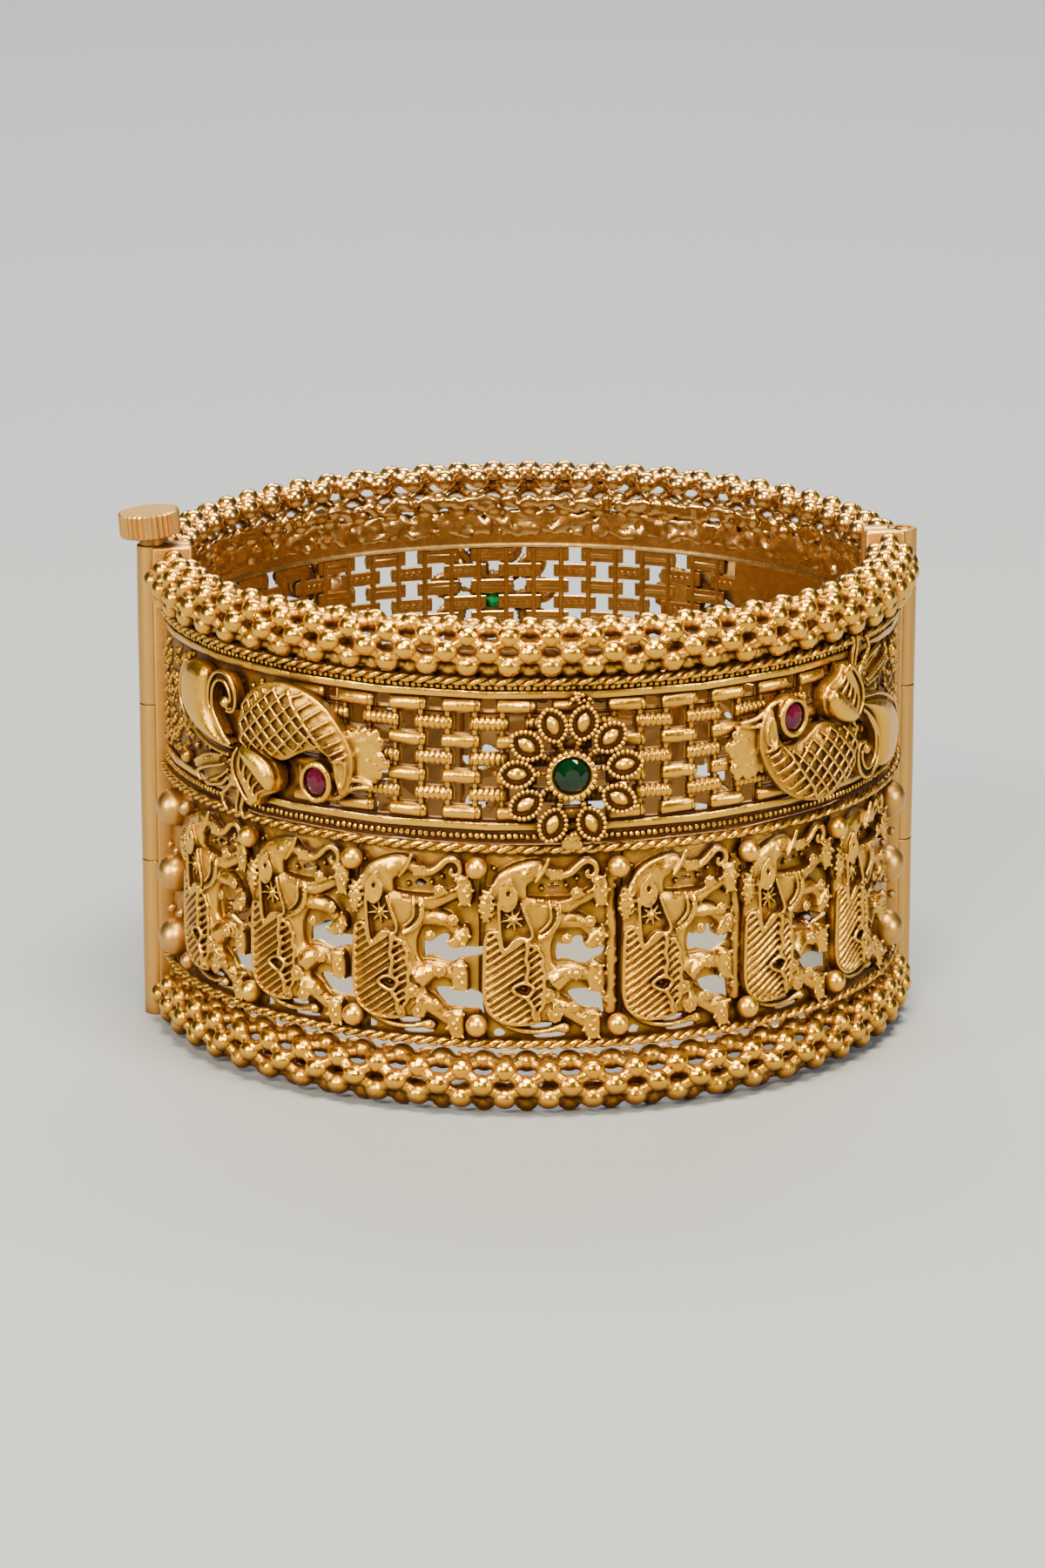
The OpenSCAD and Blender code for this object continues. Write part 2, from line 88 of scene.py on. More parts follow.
def joined(parts):
    """Joins mesh parts into the first one and applies its place."""
    only(*parts)
    if len(parts) > 1:
        bpy.ops.object.join()
    piece = bpy.context.active_object
    bpy.ops.object.transform_apply(location=True, rotation=True, scale=True)
    return piece


def copy_at(model, matrix):
    """A copy with its own mesh, set at a matrix."""
    twin = model.copy()
    twin.data = model.data.copy()
    bpy.context.scene.collection.objects.link(twin)
    twin.matrix_world = matrix
    return twin


def discard(*models):
    for model in models:
        bpy.data.objects.remove(model)


def copies_at(model, matrices):
    """Copies of a model at each matrix. The model itself goes."""
    made = [copy_at(model, matrix) for matrix in matrices]
    discard(model)
    return made


def placed(piece, matrix):
    piece.matrix_world = matrix
    return piece


def shift(x, y, z):
    return Matrix.Translation((x, y, z))


def spin(degrees, axis):
    return Matrix.Rotation(math.radians(degrees), 4, axis)


def modified(piece, kind, **settings):
    """Adds a modifier with its settings, and applies it."""
    modifier = piece.modifiers.new(kind.lower(), kind)
    for name, value in settings.items():
        setattr(modifier, name, value)
    only(piece)
    bpy.ops.object.modifier_apply(modifier=modifier.name)
    return piece


def from_points(name, points, edges=(), faces=()):
    """An object with a mesh written from its points, edges and faces."""
    mesh = bpy.data.meshes.new(name)
    mesh.from_pydata(points, edges, faces)
    made = bpy.data.objects.new(name, mesh)
    bpy.context.scene.collection.objects.link(made)
    return made


def in_edit_mode(piece, *steps):
    """Runs mesh operators on the whole mesh, then turns its normals outwards."""
    only(piece)
    bpy.ops.object.mode_set(mode="EDIT")
    bpy.ops.mesh.select_all(action="SELECT")
    for step in steps:
        step()
    bpy.ops.mesh.normals_make_consistent(inside=False)
    bpy.ops.object.mode_set(mode="OBJECT")
    return piece


print("mandrel radius", MANDREL, "mm")

# %% Helpers: wire, plate, ball
def ball(radius, segments, rings):
    bpy.ops.mesh.primitive_uv_sphere_add(segments=segments, ring_count=rings, radius=radius,
                                         location=(0, 0, 0))
    return bpy.context.active_object


def curve_mesh(name, points, closed, **settings):
    """A mesh made from one curve and its settings. A point is (x, y, z, radius factor)."""
    curve = bpy.data.curves.new(name, "CURVE")
    for setting, value in settings.items():
        setattr(curve, setting, value)
    spline = curve.splines.new("POLY")
    spline.points.add(len(points) - 1)
    for target, (x, y, z, factor) in zip(spline.points, points):
        target.co = (x, y, z, 1.0)
        target.radius = factor
    spline.use_cyclic_u = closed
    made = bpy.data.objects.new(name, curve)
    bpy.context.scene.collection.objects.link(made)
    only(made)
    bpy.ops.object.convert(target="MESH")
    return bpy.context.active_object


def wire(points, radius, closed=False, around=1, caps=True):
    """A round wire through (x, y, z, radius factor) points."""
    return curve_mesh("wire", points, closed, dimensions="3D", bevel_depth=radius, bevel_resolution=around,
                      use_fill_caps=caps)


def plate(outline, thick, edge, depth=0.0):
    """A sheet cut along an (x, z) outline, with rounded edges. Its middle lies at depth."""
    points = [(x, z, 0.0, 1.0) for x, z in outline]
    piece = curve_mesh("plate", points, True, dimensions="2D", fill_mode="BOTH", extrude=thick / 2 - edge,
                       bevel_depth=edge, bevel_resolution=1, offset=-edge)
    return joined([placed(piece, shift(0, depth, 0) @ spin(90, "X"))])


def moved(piece, x=0.0, y=0.0, z=0.0, size=(1, 1, 1)):
    """Places a part: size first, then a shift."""
    return joined([placed(piece, shift(x, y, z) @ Matrix.Diagonal((*size, 1)) @ piece.matrix_world)])


print("helpers ready")

# %% Helpers: smooth lines, strands, cushions
def smoothed(points, closed=True, steps=3):
    """A smooth line through (x, z) points, or (x, z, factor) points, as a Catmull-Rom spline."""
    n = len(points)
    line = []
    for i in range(n if closed else n - 1):
        p = [points[(i + k) % n] if closed else points[min(max(i + k, 0), n - 1)] for k in (-1, 0, 1, 2)]
        for s in range(steps):
            t = s / steps
            line.append(tuple(0.5 * (2 * b + (c - a) * t + (2 * a - 5 * b + 4 * c - d) * t * t
                                     + (3 * b - a - 3 * c + d) * t ** 3) for a, b, c, d in zip(*p)))
    return line if closed else line + [tuple(points[-1])]


def slab(outline, low, high, edge, soft=True):
    """A sheet cut along an outline, reaching from one height above the mandrel to another."""
    line = smoothed(outline) if soft else outline
    return plate(line, high - low, edge, depth=-(low + high) / 2)


def strand(points, radius, lift, closed=False, steps=3, around=1):
    """A wire laid at a height above the mandrel, which is a number or a function of x and z."""
    line = smoothed(points, closed, steps) if len(points) > 2 else points
    full = [(p[0], -(lift(p[0], p[1]) if callable(lift) else lift), p[1], p[2] if len(p) > 2 else 1.0)
            for p in line]
    return wire(full, radius, closed, around)


def edge_distance(outline, x, z):
    """Distance from a place to an outline, negative outside it."""
    best = 1e9
    inside = False
    for (x1, z1), (x2, z2) in zip(outline, outline[1:] + outline[:1]):
        dx, dz = x2 - x1, z2 - z1
        t = max(0.0, min(1.0, ((x - x1) * dx + (z - z1) * dz) / (dx * dx + dz * dz + 1e-12)))
        best = min(best, math.hypot(x - x1 - t * dx, z - z1 - t * dz))
        if (z1 > z) != (z2 > z) and x < x1 + dx * (z - z1) / dz:
            inside = not inside
    return best if inside else -best


def swell(outline, foot, reach, rise):
    """Height function of a cushion: it climbs from foot by rise over a distance from its outline."""
    def lift(x, z):
        d = max(0.0, min(1.0, edge_distance(outline, x, z) / reach))
        return foot + rise * math.sqrt(1.0 - (1.0 - d) ** 2)
    return lift


def cushion(points, low, wall, reach, rise, voxel=0.16):
    """A solid with an upright wall and a swelling front. Returns it with its height function."""
    outline = smoothed(points)
    piece = plate(outline, wall - low, 0.05, depth=-(low + wall) / 2)
    modified(piece, "REMESH", mode="VOXEL", voxel_size=voxel)
    lift = swell([p[:2] for p in outline], wall, reach, rise)
    for v in piece.data.vertices:
        if v.co.y < -(wall - 0.6 * voxel):
            v.co.y = -lift(v.co.x, v.co.z)
    return piece, lift


def spans(outline, at, way):
    """Where a straight line through a place runs inside an outline: pairs of end points."""
    hits = []
    for (x1, z1), (x2, z2) in zip(outline, outline[1:] + outline[:1]):
        ex, ez = x2 - x1, z2 - z1
        cross = way[0] * ez - way[1] * ex
        if abs(cross) > 1e-9:
            u = ((x1 - at[0]) * way[1] - (z1 - at[1]) * way[0]) / cross
            if 0 <= u < 1:
                hits.append(((x1 - at[0]) * ez - (z1 - at[1]) * ex) / cross)
    hits.sort()
    place = [(at[0] + way[0] * t, at[1] + way[1] * t) for t in hits]
    return list(zip(place[::2], place[1::2]))


def between(a, b, count):
    """Evenly spaced places on the straight line from a to b, ends included."""
    return [tuple(p + (q - p) * i / (count - 1) for p, q in zip(a, b)) for i in range(count)]


def turned(profile, sides, axis="X"):
    """A solid of revolution from (along, radius) points, as from a lathe, made by a Screw modifier."""
    spot = {"X": lambda a, r: (a, r, 0), "Y": lambda a, r: (r, a, 0), "Z": lambda a, r: (r, 0, a)}[axis]
    piece = from_points("turned", [spot(a, r) for a, r in profile],
                        edges=[(i, i + 1) for i in range(len(profile) - 1)])
    modified(piece, "SCREW", axis=axis, steps=sides, render_steps=sides, use_merge_vertices=True,
             merge_threshold=0.0001)
    return in_edit_mode(piece)


def on_ring(angle, radius, z):
    """Matrix that carries a part from the origin to the ring, its -Y side outwards."""
    return spin(angle, "Z") @ shift(0, -radius, z)


print("line helpers ready")

# %% Helpers: fuse, roll, set in place
def thinned(piece, faces):
    """Thins a piece to about so many triangles with Decimate."""
    piece.data.calc_loop_triangles()
    return modified(piece, "DECIMATE", ratio=min(1.0, faces / len(piece.data.loop_triangles)))


def fused(parts, voxel, faces, soften=1):
    """Melts overlapping parts into one skin, as a casting, and thins it to about so many triangles."""
    piece = modified(joined(parts), "REMESH", mode="VOXEL", voxel_size=voxel)
    modified(piece, "SMOOTH", factor=0.5, iterations=soften)
    return thinned(piece, faces)


def block(size, bevel, segments=1):
    """A box with softened edges, centred at the origin."""
    bpy.ops.mesh.primitive_cube_add(size=1)
    piece = bpy.context.active_object
    piece.scale = size
    piece = joined([piece])
    return modified(piece, "BEVEL", width=bevel, segments=segments)


def cut_away(piece, tool, **settings):
    """Cuts a tool's shape out of a piece, and removes the tool."""
    modified(piece, "BOOLEAN", operation="DIFFERENCE", object=tool, **settings)
    discard(tool)
    return piece


def curved_sheet(start, stop, z1, z2, low, high):
    """A plain sheet rolled round the mandrel between two angles in degrees, and two heights."""
    count = max(4, int((stop - start) / 3))
    x1, x2 = math.radians(start) * MANDREL, math.radians(stop) * MANDREL
    bpy.ops.mesh.primitive_grid_add(x_subdivisions=count, y_subdivisions=1, size=1)
    sheet = bpy.context.active_object
    sheet.matrix_world = (shift((x1 + x2) / 2, -high, (z1 + z2) / 2) @ spin(90, "X")
                          @ Matrix.Diagonal((x2 - x1, z2 - z1, 1, 1)))
    return rolled(modified(joined([sheet]), "SOLIDIFY", thickness=high - low, offset=-1))


def rolled(piece):
    """Bends a flat strip round the mandrel, and puts the ring's centre at the origin."""
    xs = [v.co.x for v in piece.data.vertices]
    modified(piece, "SIMPLE_DEFORM", deform_method="BEND", deform_axis="Z",
             angle=(max(xs) - min(xs)) / MANDREL)
    piece.location.y -= MANDREL
    bpy.ops.object.transform_apply(location=True, rotation=False, scale=False)
    return piece


RECESS_CELL = 0.13  # heights are compared in square cells of this width, in millimetres


def kept_values(piece, name, values):
    """Keeps one number for every point of a mesh, which a material can read."""
    piece.data.attributes.new(name, "FLOAT", "POINT").data.foreach_set("value", values)
    return piece


def mark_patina_shade(piece, spread, depth, most):
    """Keeps for every point of a flat casting how deep it lies below the highest metal within the spread,
    as 0 to 1; the gold is darkened there as antique finish and as painted shade. Only what faces the
    viewer counts, so walls and the wrist side stay bare. The pierced ground counts as half deep."""
    reach = round(spread / RECESS_CELL)
    top = {}
    keys = [(round(v.co.x / RECESS_CELL), round(v.co.z / RECESS_CELL)) for v in piece.data.vertices]
    for key, v in zip(keys, piece.data.vertices):
        top[key] = max(top.get(key, -9.0), -v.co.y)
    for di, dk in ((1, 0), (0, 1)):
        wide = {}
        for (i, k), height in top.items():
            for d in range(-reach, reach + 1):
                key = (i + d * di, k + d * dk)
                wide[key] = max(wide.get(key, -9.0), height)
        top = wide
    values = []
    for key, v in zip(keys, piece.data.vertices):
        deep = max(min(1.0, (top[key] + v.co.y - 0.08) / depth), min(0.6, 2.2 * (v.co.y - 0.08)))
        facing = max(0.0, min(1.0, (-v.normal.y - 0.3) / 0.4))
        values.append(most * facing * max(0.0, deep))
    return kept_values(piece, "recess", values)


def place_matrix(half, angle=0.0):
    return Matrix.Scale(MM, 4) @ spin(HALF_TURN[half] + angle, "Z")


def finished(piece, name, body, material, replaces, smooth):
    """Names a piece, smooths it, gives it its finish and lets it ride on its body."""
    piece.name = name
    piece.data.name = name
    only(piece)
    bpy.ops.object.transform_apply(location=True, rotation=True, scale=True)
    bpy.ops.object.shade_smooth_by_angle(angle=math.radians(smooth))
    piece.data.materials.clear()
    piece.data.materials.append(material)
    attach(piece, body)
    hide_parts(*replaces)
    piece.data.calc_loop_triangles()
    print(name, len(piece.data.loop_triangles), "triangles")
    return piece


BODY = {"front": "front_half", "back": "back_half"}


def set_gold(piece, half, name, replaced, material, smooth):
    """Finishes a gold piece of a half, which stands for that half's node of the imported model."""
    finished(piece, f"{half}_{name}", BODY[half], material, [f"{half}_{replaced}"], smooth)


def set_halves(model, name, replaced, material, smooth, seat=Matrix()):
    """Sets a copy of a model into each half of the ring; its seat is its place in the half."""
    for half in BODY:
        set_gold(copy_at(model, place_matrix(half) @ seat), half, name, replaced, material, smooth)
    discard(model)


print("ready to build")

# %% [markdown]
# The metal is a brass-gold with an antique finish: the maker darkens the whole piece, then wipes the
# high places bright. So the recesses are brown and dull and the edges pale; here that brown is partly
# the antique finish and partly painted shade. Three shared node groups make this: one finds the
# recesses, one gives the fine grain of cast metal, and one tells the wrist side, which is hardly darkened
# in its recesses but is painted a darker brown as shade, most of all low down.

# %% Shared effects: recess mask, cast grain and wrist side
def new_group(name, inputs, outputs):
    """An empty node group with named number inputs and outputs."""
    group = bpy.data.node_groups.new(name, "ShaderNodeTree")
    for label, value in inputs.items():
        group.interface.new_socket(label, in_out="INPUT", socket_type="NodeSocketFloat").default_value = value
    for label in outputs:
        group.interface.new_socket(label, in_out="OUTPUT", socket_type="NodeSocketFloat")
    return group, group.nodes.new("NodeGroupInput").outputs, group.nodes.new("NodeGroupOutput").inputs


def feed(tree, socket, value):
    """Links an output to a socket, or sets the socket's own value; a colour may be three numbers."""
    if isinstance(value, bpy.types.NodeSocket):
        tree.links.new(value, socket)
    else:
        socket.default_value = (*value, 1.0) if socket.type == "RGBA" else value


def node(tree, kind, settings=(), **inputs):
    """Adds a node, sets its options and feeds its inputs; From_Min stands for the input From Min."""
    made = tree.nodes.new("ShaderNode" + kind)
    for name, value in dict(settings).items():
        setattr(made, name, value)
    for label, value in inputs.items():
        feed(tree, made.inputs[label.replace("_", " ")], value)
    return made.outputs


def sum_of(tree, operation, *values, kind="Math", clamp=False):
    """A Math or Vector Math node over numbers and outputs."""
    made = tree.nodes.new("ShaderNode" + kind)
    made.operation = operation
    if clamp:
        made.use_clamp = True
    for socket, value in zip(made.inputs, values):
        feed(tree, socket, value)
    return made.outputs["Value" if kind == "Math" or operation == "DOT_PRODUCT" else "Vector"]


def ramp(tree, value, start, stop, low=0.0, high=1.0, kind="SMOOTHSTEP"):
    """A Map Range node: low at start and below, high at stop and beyond."""
    return node(tree, "MapRange", {"interpolation_type": kind}, Value=value, From_Min=start, From_Max=stop,
                To_Min=low, To_Max=high)["Result"]


def texture(tree, kind, scale, **inputs):
    """A procedural texture laid out in the object's own coordinates."""
    return node(tree, kind, Vector=node(tree, "TexCoord")["Object"], Scale=scale, **inputs)


def recess_patina_shade_group():
    """Mask of antique darkening and painted shade: 1 in deep recesses, 0 on open metal, with its edge broken
    up by noise.
    """
    group, given, out = new_group("recess_patina_shade_mask", {"Reach": 0.0012, "Patchiness": 0.25}, ["Mask"])
    # ambient occlusion tells where shade falls, so this mask paints shade as well as the antique darkening
    occlusion = node(group, "AmbientOcclusion", {"samples": 6}, Distance=given["Reach"])["AO"]
    noise = texture(group, "TexNoise", 900.0, Detail=4.0)["Fac"]
    patch = sum_of(group, "MULTIPLY", sum_of(group, "SUBTRACT", noise, 0.5), given["Patchiness"])
    feed(group, out["Mask"], ramp(group, sum_of(group, "ADD", occlusion, patch), 0.9, 0.42))
    return group


def grain_group():
    """Height of the fine pitted grain of cast metal, and a slow variation over the surface."""
    group, given, out = new_group("cast_grain", {"Grain Size": 2600.0, "Pits": 0.3, "Dents": 0.5},
                                  ["Height", "Variation"])
    fine = texture(group, "TexNoise", given["Grain Size"], Detail=5.0, Roughness=0.6)["Fac"]
    pits = texture(group, "TexVoronoi", given["Grain Size"])["Distance"]
    broad = texture(group, "TexNoise", 750.0, Detail=2.0)["Fac"]
    pitted = sum_of(group, "ADD", fine, sum_of(group, "MULTIPLY", pits, given["Pits"]))
    feed(group, out["Height"], sum_of(group, "MULTIPLY_ADD", broad, given["Dents"], pitted))
    feed(group, out["Variation"], texture(group, "TexNoise", 160.0, Detail=3.0)["Fac"])
    return group


def inner_group():
    """Masks: 1 on surfaces that face the wrist, 0 on those that face outwards; 1 low down, 0 near the top."""
    group, given, out = new_group("inner_side", {}, ["Mask", "Low"])
    place = node(group, "TexCoord")
    level = sum_of(group, "MULTIPLY", place["Object"], (1, 1, 0), kind="VectorMath")
    outward = sum_of(group, "NORMALIZE", level, kind="VectorMath")
    facing = sum_of(group, "DOT_PRODUCT", outward, place["Normal"], kind="VectorMath")
    feed(group, out["Mask"], ramp(group, facing, 0.0, -0.6))
    height = node(group, "SeparateXYZ", Vector=place["Object"])["Z"]
    # the low mask paints shade: the wrist side is darker further down
    feed(group, out["Low"], ramp(group, height, 0.026, 0.012))
    return group


def grouped(tree, group, **inputs):
    """Adds a node group and feeds its inputs."""
    made = tree.nodes.new("ShaderNodeGroup")
    made.node_tree = group
    for label, value in inputs.items():
        feed(tree, made.inputs[label.replace("_", " ")], value)
    return made.outputs


RECESS_PATINA_SHADE = recess_patina_shade_group()
GRAIN = grain_group()
INNER = inner_group()
print("node groups", RECESS_PATINA_SHADE.name, GRAIN.name, INNER.name)


# %% Gold
def mix_colour(tree, mask, low, high):
    mix = tree.nodes.new("ShaderNodeMix")
    mix.data_type = "RGBA"
    for label, value in (("Factor", mask), ("A", low), ("B", high)):
        feed(tree, mix.inputs[label], value)
    return mix.outputs["Result"]


def new_material(name):
    """A material with its node tree and the inputs of its shader."""
    material = bpy.data.materials.new(name)
    material.use_nodes = True
    return material, material.node_tree, material.node_tree.nodes["Principled BSDF"].inputs


def gold(name, bright, deep, rough, grain, bump, dark_finish_and_shade, reach=0.0007, dents=0.5, turning=False):
    """Antique gold: bright to deep metal by slow variation, brown and dull in the recesses, where the colour
    is darkened as antique finish and as painted shade.
    """
    material, tree, shader = new_material(name)
    cast = grouped(tree, GRAIN, Grain_Size=grain, Dents=dents)
    narrow, wide = [grouped(tree, RECESS_PATINA_SHADE, Reach=length)["Mask"] for length in (reach, 4 * reach)]
    kept = node(tree, "Attribute", {"attribute_name": "recess"})["Fac"]
    # a mark kept in the mesh, for antique darkening and painted shade, counts most where the metal is narrow
    # and deep
    weight = sum_of(tree, "MULTIPLY_ADD", narrow, 2.5, 0.3)
    marked = sum_of(tree, "MULTIPLY", weight, kept, clamp=True)
    patina_shade_mask = sum_of(tree, "MAXIMUM", sum_of(tree, "MAXIMUM", narrow, wide), marked)
    wrist = grouped(tree, INNER)
    outer = sum_of(tree, "MULTIPLY_ADD", wrist["Mask"], -0.82, 1.0)  # the wrist side gets hardly any of the recess darkening
    # painted shade and antique darkening: the recess masks darken the metal's colour towards the dark brown
    dark = sum_of(tree, "MULTIPLY", patina_shade_mask, outer)
    wiped = mix_colour(tree, cast["Variation"], bright, deep)
    # painted shade on the wrist side: a darker brown, darkest low down, which partly stands for unwiped metal
    lining = mix_colour(tree, wrist["Low"], UNWIPED_SHADED_LINING, SHADED_LOW_LINING)
    metal = mix_colour(tree, wrist["Mask"], wiped, lining)
    feed(tree, shader["Base Color"], mix_colour(tree, dark, metal, dark_finish_and_shade))
    feed(tree, shader["Metallic"], ramp(tree, dark, 0.0, 1.0, 1.0, 0.8, kind="LINEAR"))
    dull = ramp(tree, dark, 0.0, 1.0, rough, min(0.95, rough + 0.35), kind="LINEAR")
    uneven = sum_of(tree, "MULTIPLY_ADD", cast["Height"], 0.16, -0.08)
    feed(tree, shader["Roughness"], sum_of(tree, "ADD", dull, uneven))
    relief = node(tree, "Bump", Strength=sum_of(tree, "MULTIPLY", outer, bump), Distance=0.00009,
                  Height=turned_rings(tree, cast["Height"]) if turning else cast["Height"])
    feed(tree, shader["Normal"], relief["Normal"])
    return material


RING_PITCH = 0.27  # millimetres from one turned ring to the next


def turned_rings(tree, height):
    """Adds fine rings round each bead's axis, from the value kept in its mesh."""
    along = node(tree, "Attribute", {"attribute_name": "turning"})["Fac"]
    wave = sum_of(tree, "SINE", sum_of(tree, "MULTIPLY", along, 2 * math.pi / RING_PITCH))
    return sum_of(tree, "MULTIPLY_ADD", wave, 0.16, height)


PATINA_SHADE_COLOUR = (0.05, 0.0145, 0.0015)  # the dark antique finish in the grooves, which also stands for painted shade
HALF_WIPED_PATINA_SHADE = (0.12, 0.04, 0.004)  # the same dark finish and painted shade, half wiped off
UNWIPED_SHADED_LINING = (0.64, 0.37, 0.11)  # the wrist side near the top: partly unwiped metal, partly painted shade
SHADED_LOW_LINING = (0.36, 0.19, 0.06)  # the wrist side further down, darker with painted shade
CAST = gold("cast_gold", (0.86, 0.465, 0.042), (0.66, 0.32, 0.025), 0.16, 1800.0, 0.6, PATINA_SHADE_COLOUR)
DRAWN = gold("drawn_gold", (0.85, 0.46, 0.045), (0.69, 0.34, 0.03), 0.16, 3400.0, 0.25, PATINA_SHADE_COLOUR)
BEADED = gold("beaded_gold", (0.85, 0.455, 0.04), (0.67, 0.325, 0.026), 0.15, 1800.0, 0.45, HALF_WIPED_PATINA_SHADE,
              reach=0.0009, dents=0.4, turning=True)
BEADED_WIRE = gold("granulated_gold", (0.85, 0.46, 0.045), (0.7, 0.35, 0.032), 0.16, 3000.0, 0.3, PATINA_SHADE_COLOUR)
POLISHED = gold("polished_gold", (0.84, 0.455, 0.045), (0.76, 0.39, 0.036), 0.26, 3000.0, 0.2, HALF_WIPED_PATINA_SHADE,
                dents=0.2)
SATIN = gold("satin_gold", (0.57, 0.31, 0.078), (0.5, 0.255, 0.05), 0.32, 3600.0, 0.25, HALF_WIPED_PATINA_SHADE,
             reach=0.0005, dents=0.2)
print("metals", CAST.name, DRAWN.name, BEADED.name)

# %% [markdown]
# The stones are coloured glass in open settings. Such a stone is dark in front with a glint in it, and
# bright behind, where light comes through, so its colour depends on which way a facet looks.

# %% Coloured glass
def gem_glass(name, deep, glint, lit):
    """A coloured stone: dark in front, and lit through where its pavilion faces the wrist."""
    material, tree, shader = new_material(name)
    colour = mix_colour(tree, texture(tree, "TexNoise", 900.0)["Fac"], deep, glint)
    through = mix_colour(tree, grouped(tree, INNER)["Mask"], colour, lit)
    for label, value in (("Base Color", through), ("Roughness", 0.05), ("IOR", 1.42)):
        feed(tree, shader[label], value)
    return material


EMERALD = gem_glass("emerald_glass", (0.0, 0.003, 0.0005), (0.0005, 0.015, 0.003), (0.02, 0.42, 0.16))
RUBY = gem_glass("ruby_glass", (0.02, 0.0008, 0.005), (0.085, 0.002, 0.02), (0.3, 0.01, 0.06))
print("stones", EMERALD.name, RUBY.name)

# %% [markdown]
# Each rim is a tube of beads: six rows round the tube's section, open towards the wrist. Each row is
# half a step out from the next, and a bead is soldered to its four neighbours by short necks, so
# an oval hole is left between two beads of one row. Balls and necks are set round the ring and run
# into each other. On the wrist side, a voxel Remesh melts uneven lumps into a rough lining.

# %% Rims
RIM_RING = 31.4  # ring radius of a rim's middle
RIM_ROW = 1.71  # distance of a bead row from it
BEAD_ROWS = [-90, -45, 0, 45, 90, 135]
BEAD_R = 0.94
BEAD_LONG = 1.07
RIM_END = 84.0  # angle of a row's last bead
LINING_LUMPS, LINING_STEP = 95, 1.8


def ring_point(angle, r, z):
    a = math.radians(angle)
    return Vector((r * math.sin(a), -r * math.cos(a), z))


def rim(count, z, segments, rings):
    """One half ring of beads, count of them in a long row."""
    step = 2 * RIM_END / (count - 1)
    bead = ball(1.0, segments=segments, rings=rings)
    bpy.ops.transform.rotate(value=math.pi / 2, orient_axis="Y", center_override=(0, 0, 0))
    bpy.ops.transform.resize(value=(BEAD_LONG, BEAD_R, BEAD_R))
    bead = joined([bead])
    neck = turned([(-0.55, 0), (-0.55, 0.62), (0, 0.5), (0.55, 0.62), (0.55, 0)], 8, "Z")
    centres = []
    parts = []
    for row, around in enumerate(BEAD_ROWS):
        a = math.radians(around)
        number = count - row % 2
        line = []
        for k in range(number):
            angle = (k - (number - 1) / 2) * step
            at = ring_point(angle, RIM_RING + RIM_ROW * math.cos(a), z + RIM_ROW * math.sin(a))
            line.append(at)
            parts.append(copy_at(bead, Matrix.Translation(at) @ spin(angle, "Z") @ spin(around, "X")))
        centres.append(line)
    for row in range(len(centres) - 1):
        for k, at in enumerate(centres[row]):
            for j in ((k - 1, k) if row % 2 == 0 else (k, k + 1)):
                if 0 <= j < len(centres[row + 1]):
                    other = centres[row + 1][j]
                    turn = (other - at).to_track_quat("Z", "Y").to_matrix().to_4x4()
                    parts.append(copy_at(neck, Matrix.Translation((at + other) / 2) @ turn))
    discard(bead, neck)
    made = joined(parts + [fused(rough_lining(z), voxel=0.16, faces=7000)])
    mark_turning(made, [at for line in centres for at in line])
    return made


def rough_lining(z):
    """The rim's wrist side as it came from the mould: uneven lumps with small gaps left between them."""
    rng = random.Random(11)
    places = []
    for up in (-1.35, -0.85):
        for i in range(LINING_LUMPS):
            angle = (i - LINING_LUMPS // 2 + rng.uniform(-0.4, 0.4)) * LINING_STEP
            size = rng.uniform(0.34, 0.62)
            at = ring_point(angle, RIM_RING - 1.28 + 0.3 * abs(up), z + up + rng.uniform(-0.22, 0.22))
            if rng.random() > 0.1:
                flat_lump = Matrix.Diagonal((1.3 * size, 0.45, size, 1))
                places.append(Matrix.Translation(at) @ spin(angle, "Z") @ flat_lump)
    return copies_at(ball(1.0, segments=10, rings=6), places)


def mark_turning(piece, centres):
    """Keeps for every point how far it lies along its own bead's axis, in millimetres."""
    tree = KDTree(len(centres))
    for i, at in enumerate(centres):
        tree.insert(at, i)
    tree.balance()
    values = []
    for v in piece.data.vertices:
        at, i, _ = tree.find(v.co)
        out = Vector((at.x, at.y, 0)).normalized()
        side = Vector((-out.y, out.x, 0)) * (0.5 * math.sin(i * 2.4))
        pole = (out + Vector((0, 0, 0.1 - 0.3 * math.cos(i * 1.7))) + side).normalized()
        values.append((v.co - at).dot(pole))
    kept_values(piece, "turning", values)


BEAD_MESH = {"front": (14, 8), "back": (12, 7)}
for place, count, height in (("top", 29, 39.86), ("bottom", 27, RIM_ROW + BEAD_R)):
    for half, mesh_size in BEAD_MESH.items():
        model = placed(rim(count, height, *mesh_size), place_matrix(half))
        set_gold(model, half, f"bead_rim_{place}", f"{place}_rim", BEADED, 60.0)

# %% [markdown]
# A rope wire is two fine wires twisted together. One turn of both strands is drawn as a helix,
# an Array repeats it to the length of the half ring, and the bend rolls it up.

# %% Rope wires
ROPE_RING = 32.3
ROPE_TURN = 2.2  # length of one full twist
STRAND_R = 0.235
STRAND_OFF = 0.2
ROPE_LENGTH = 2 * math.radians(END_ANGLE) * MANDREL  # flat, and the bend keeps it at the mandrel


def repeated(piece, count, pitch):
    """Repeats a flat part count times along x, centred on x = 0, and melts shared points."""
    modified(piece, "ARRAY", count=count, use_relative_offset=False, use_constant_offset=True,
             constant_offset_displace=(pitch, 0, 0), use_merge_vertices=True, merge_threshold=0.002)
    piece.location.x -= (count - 1) * pitch / 2
    return joined([piece])


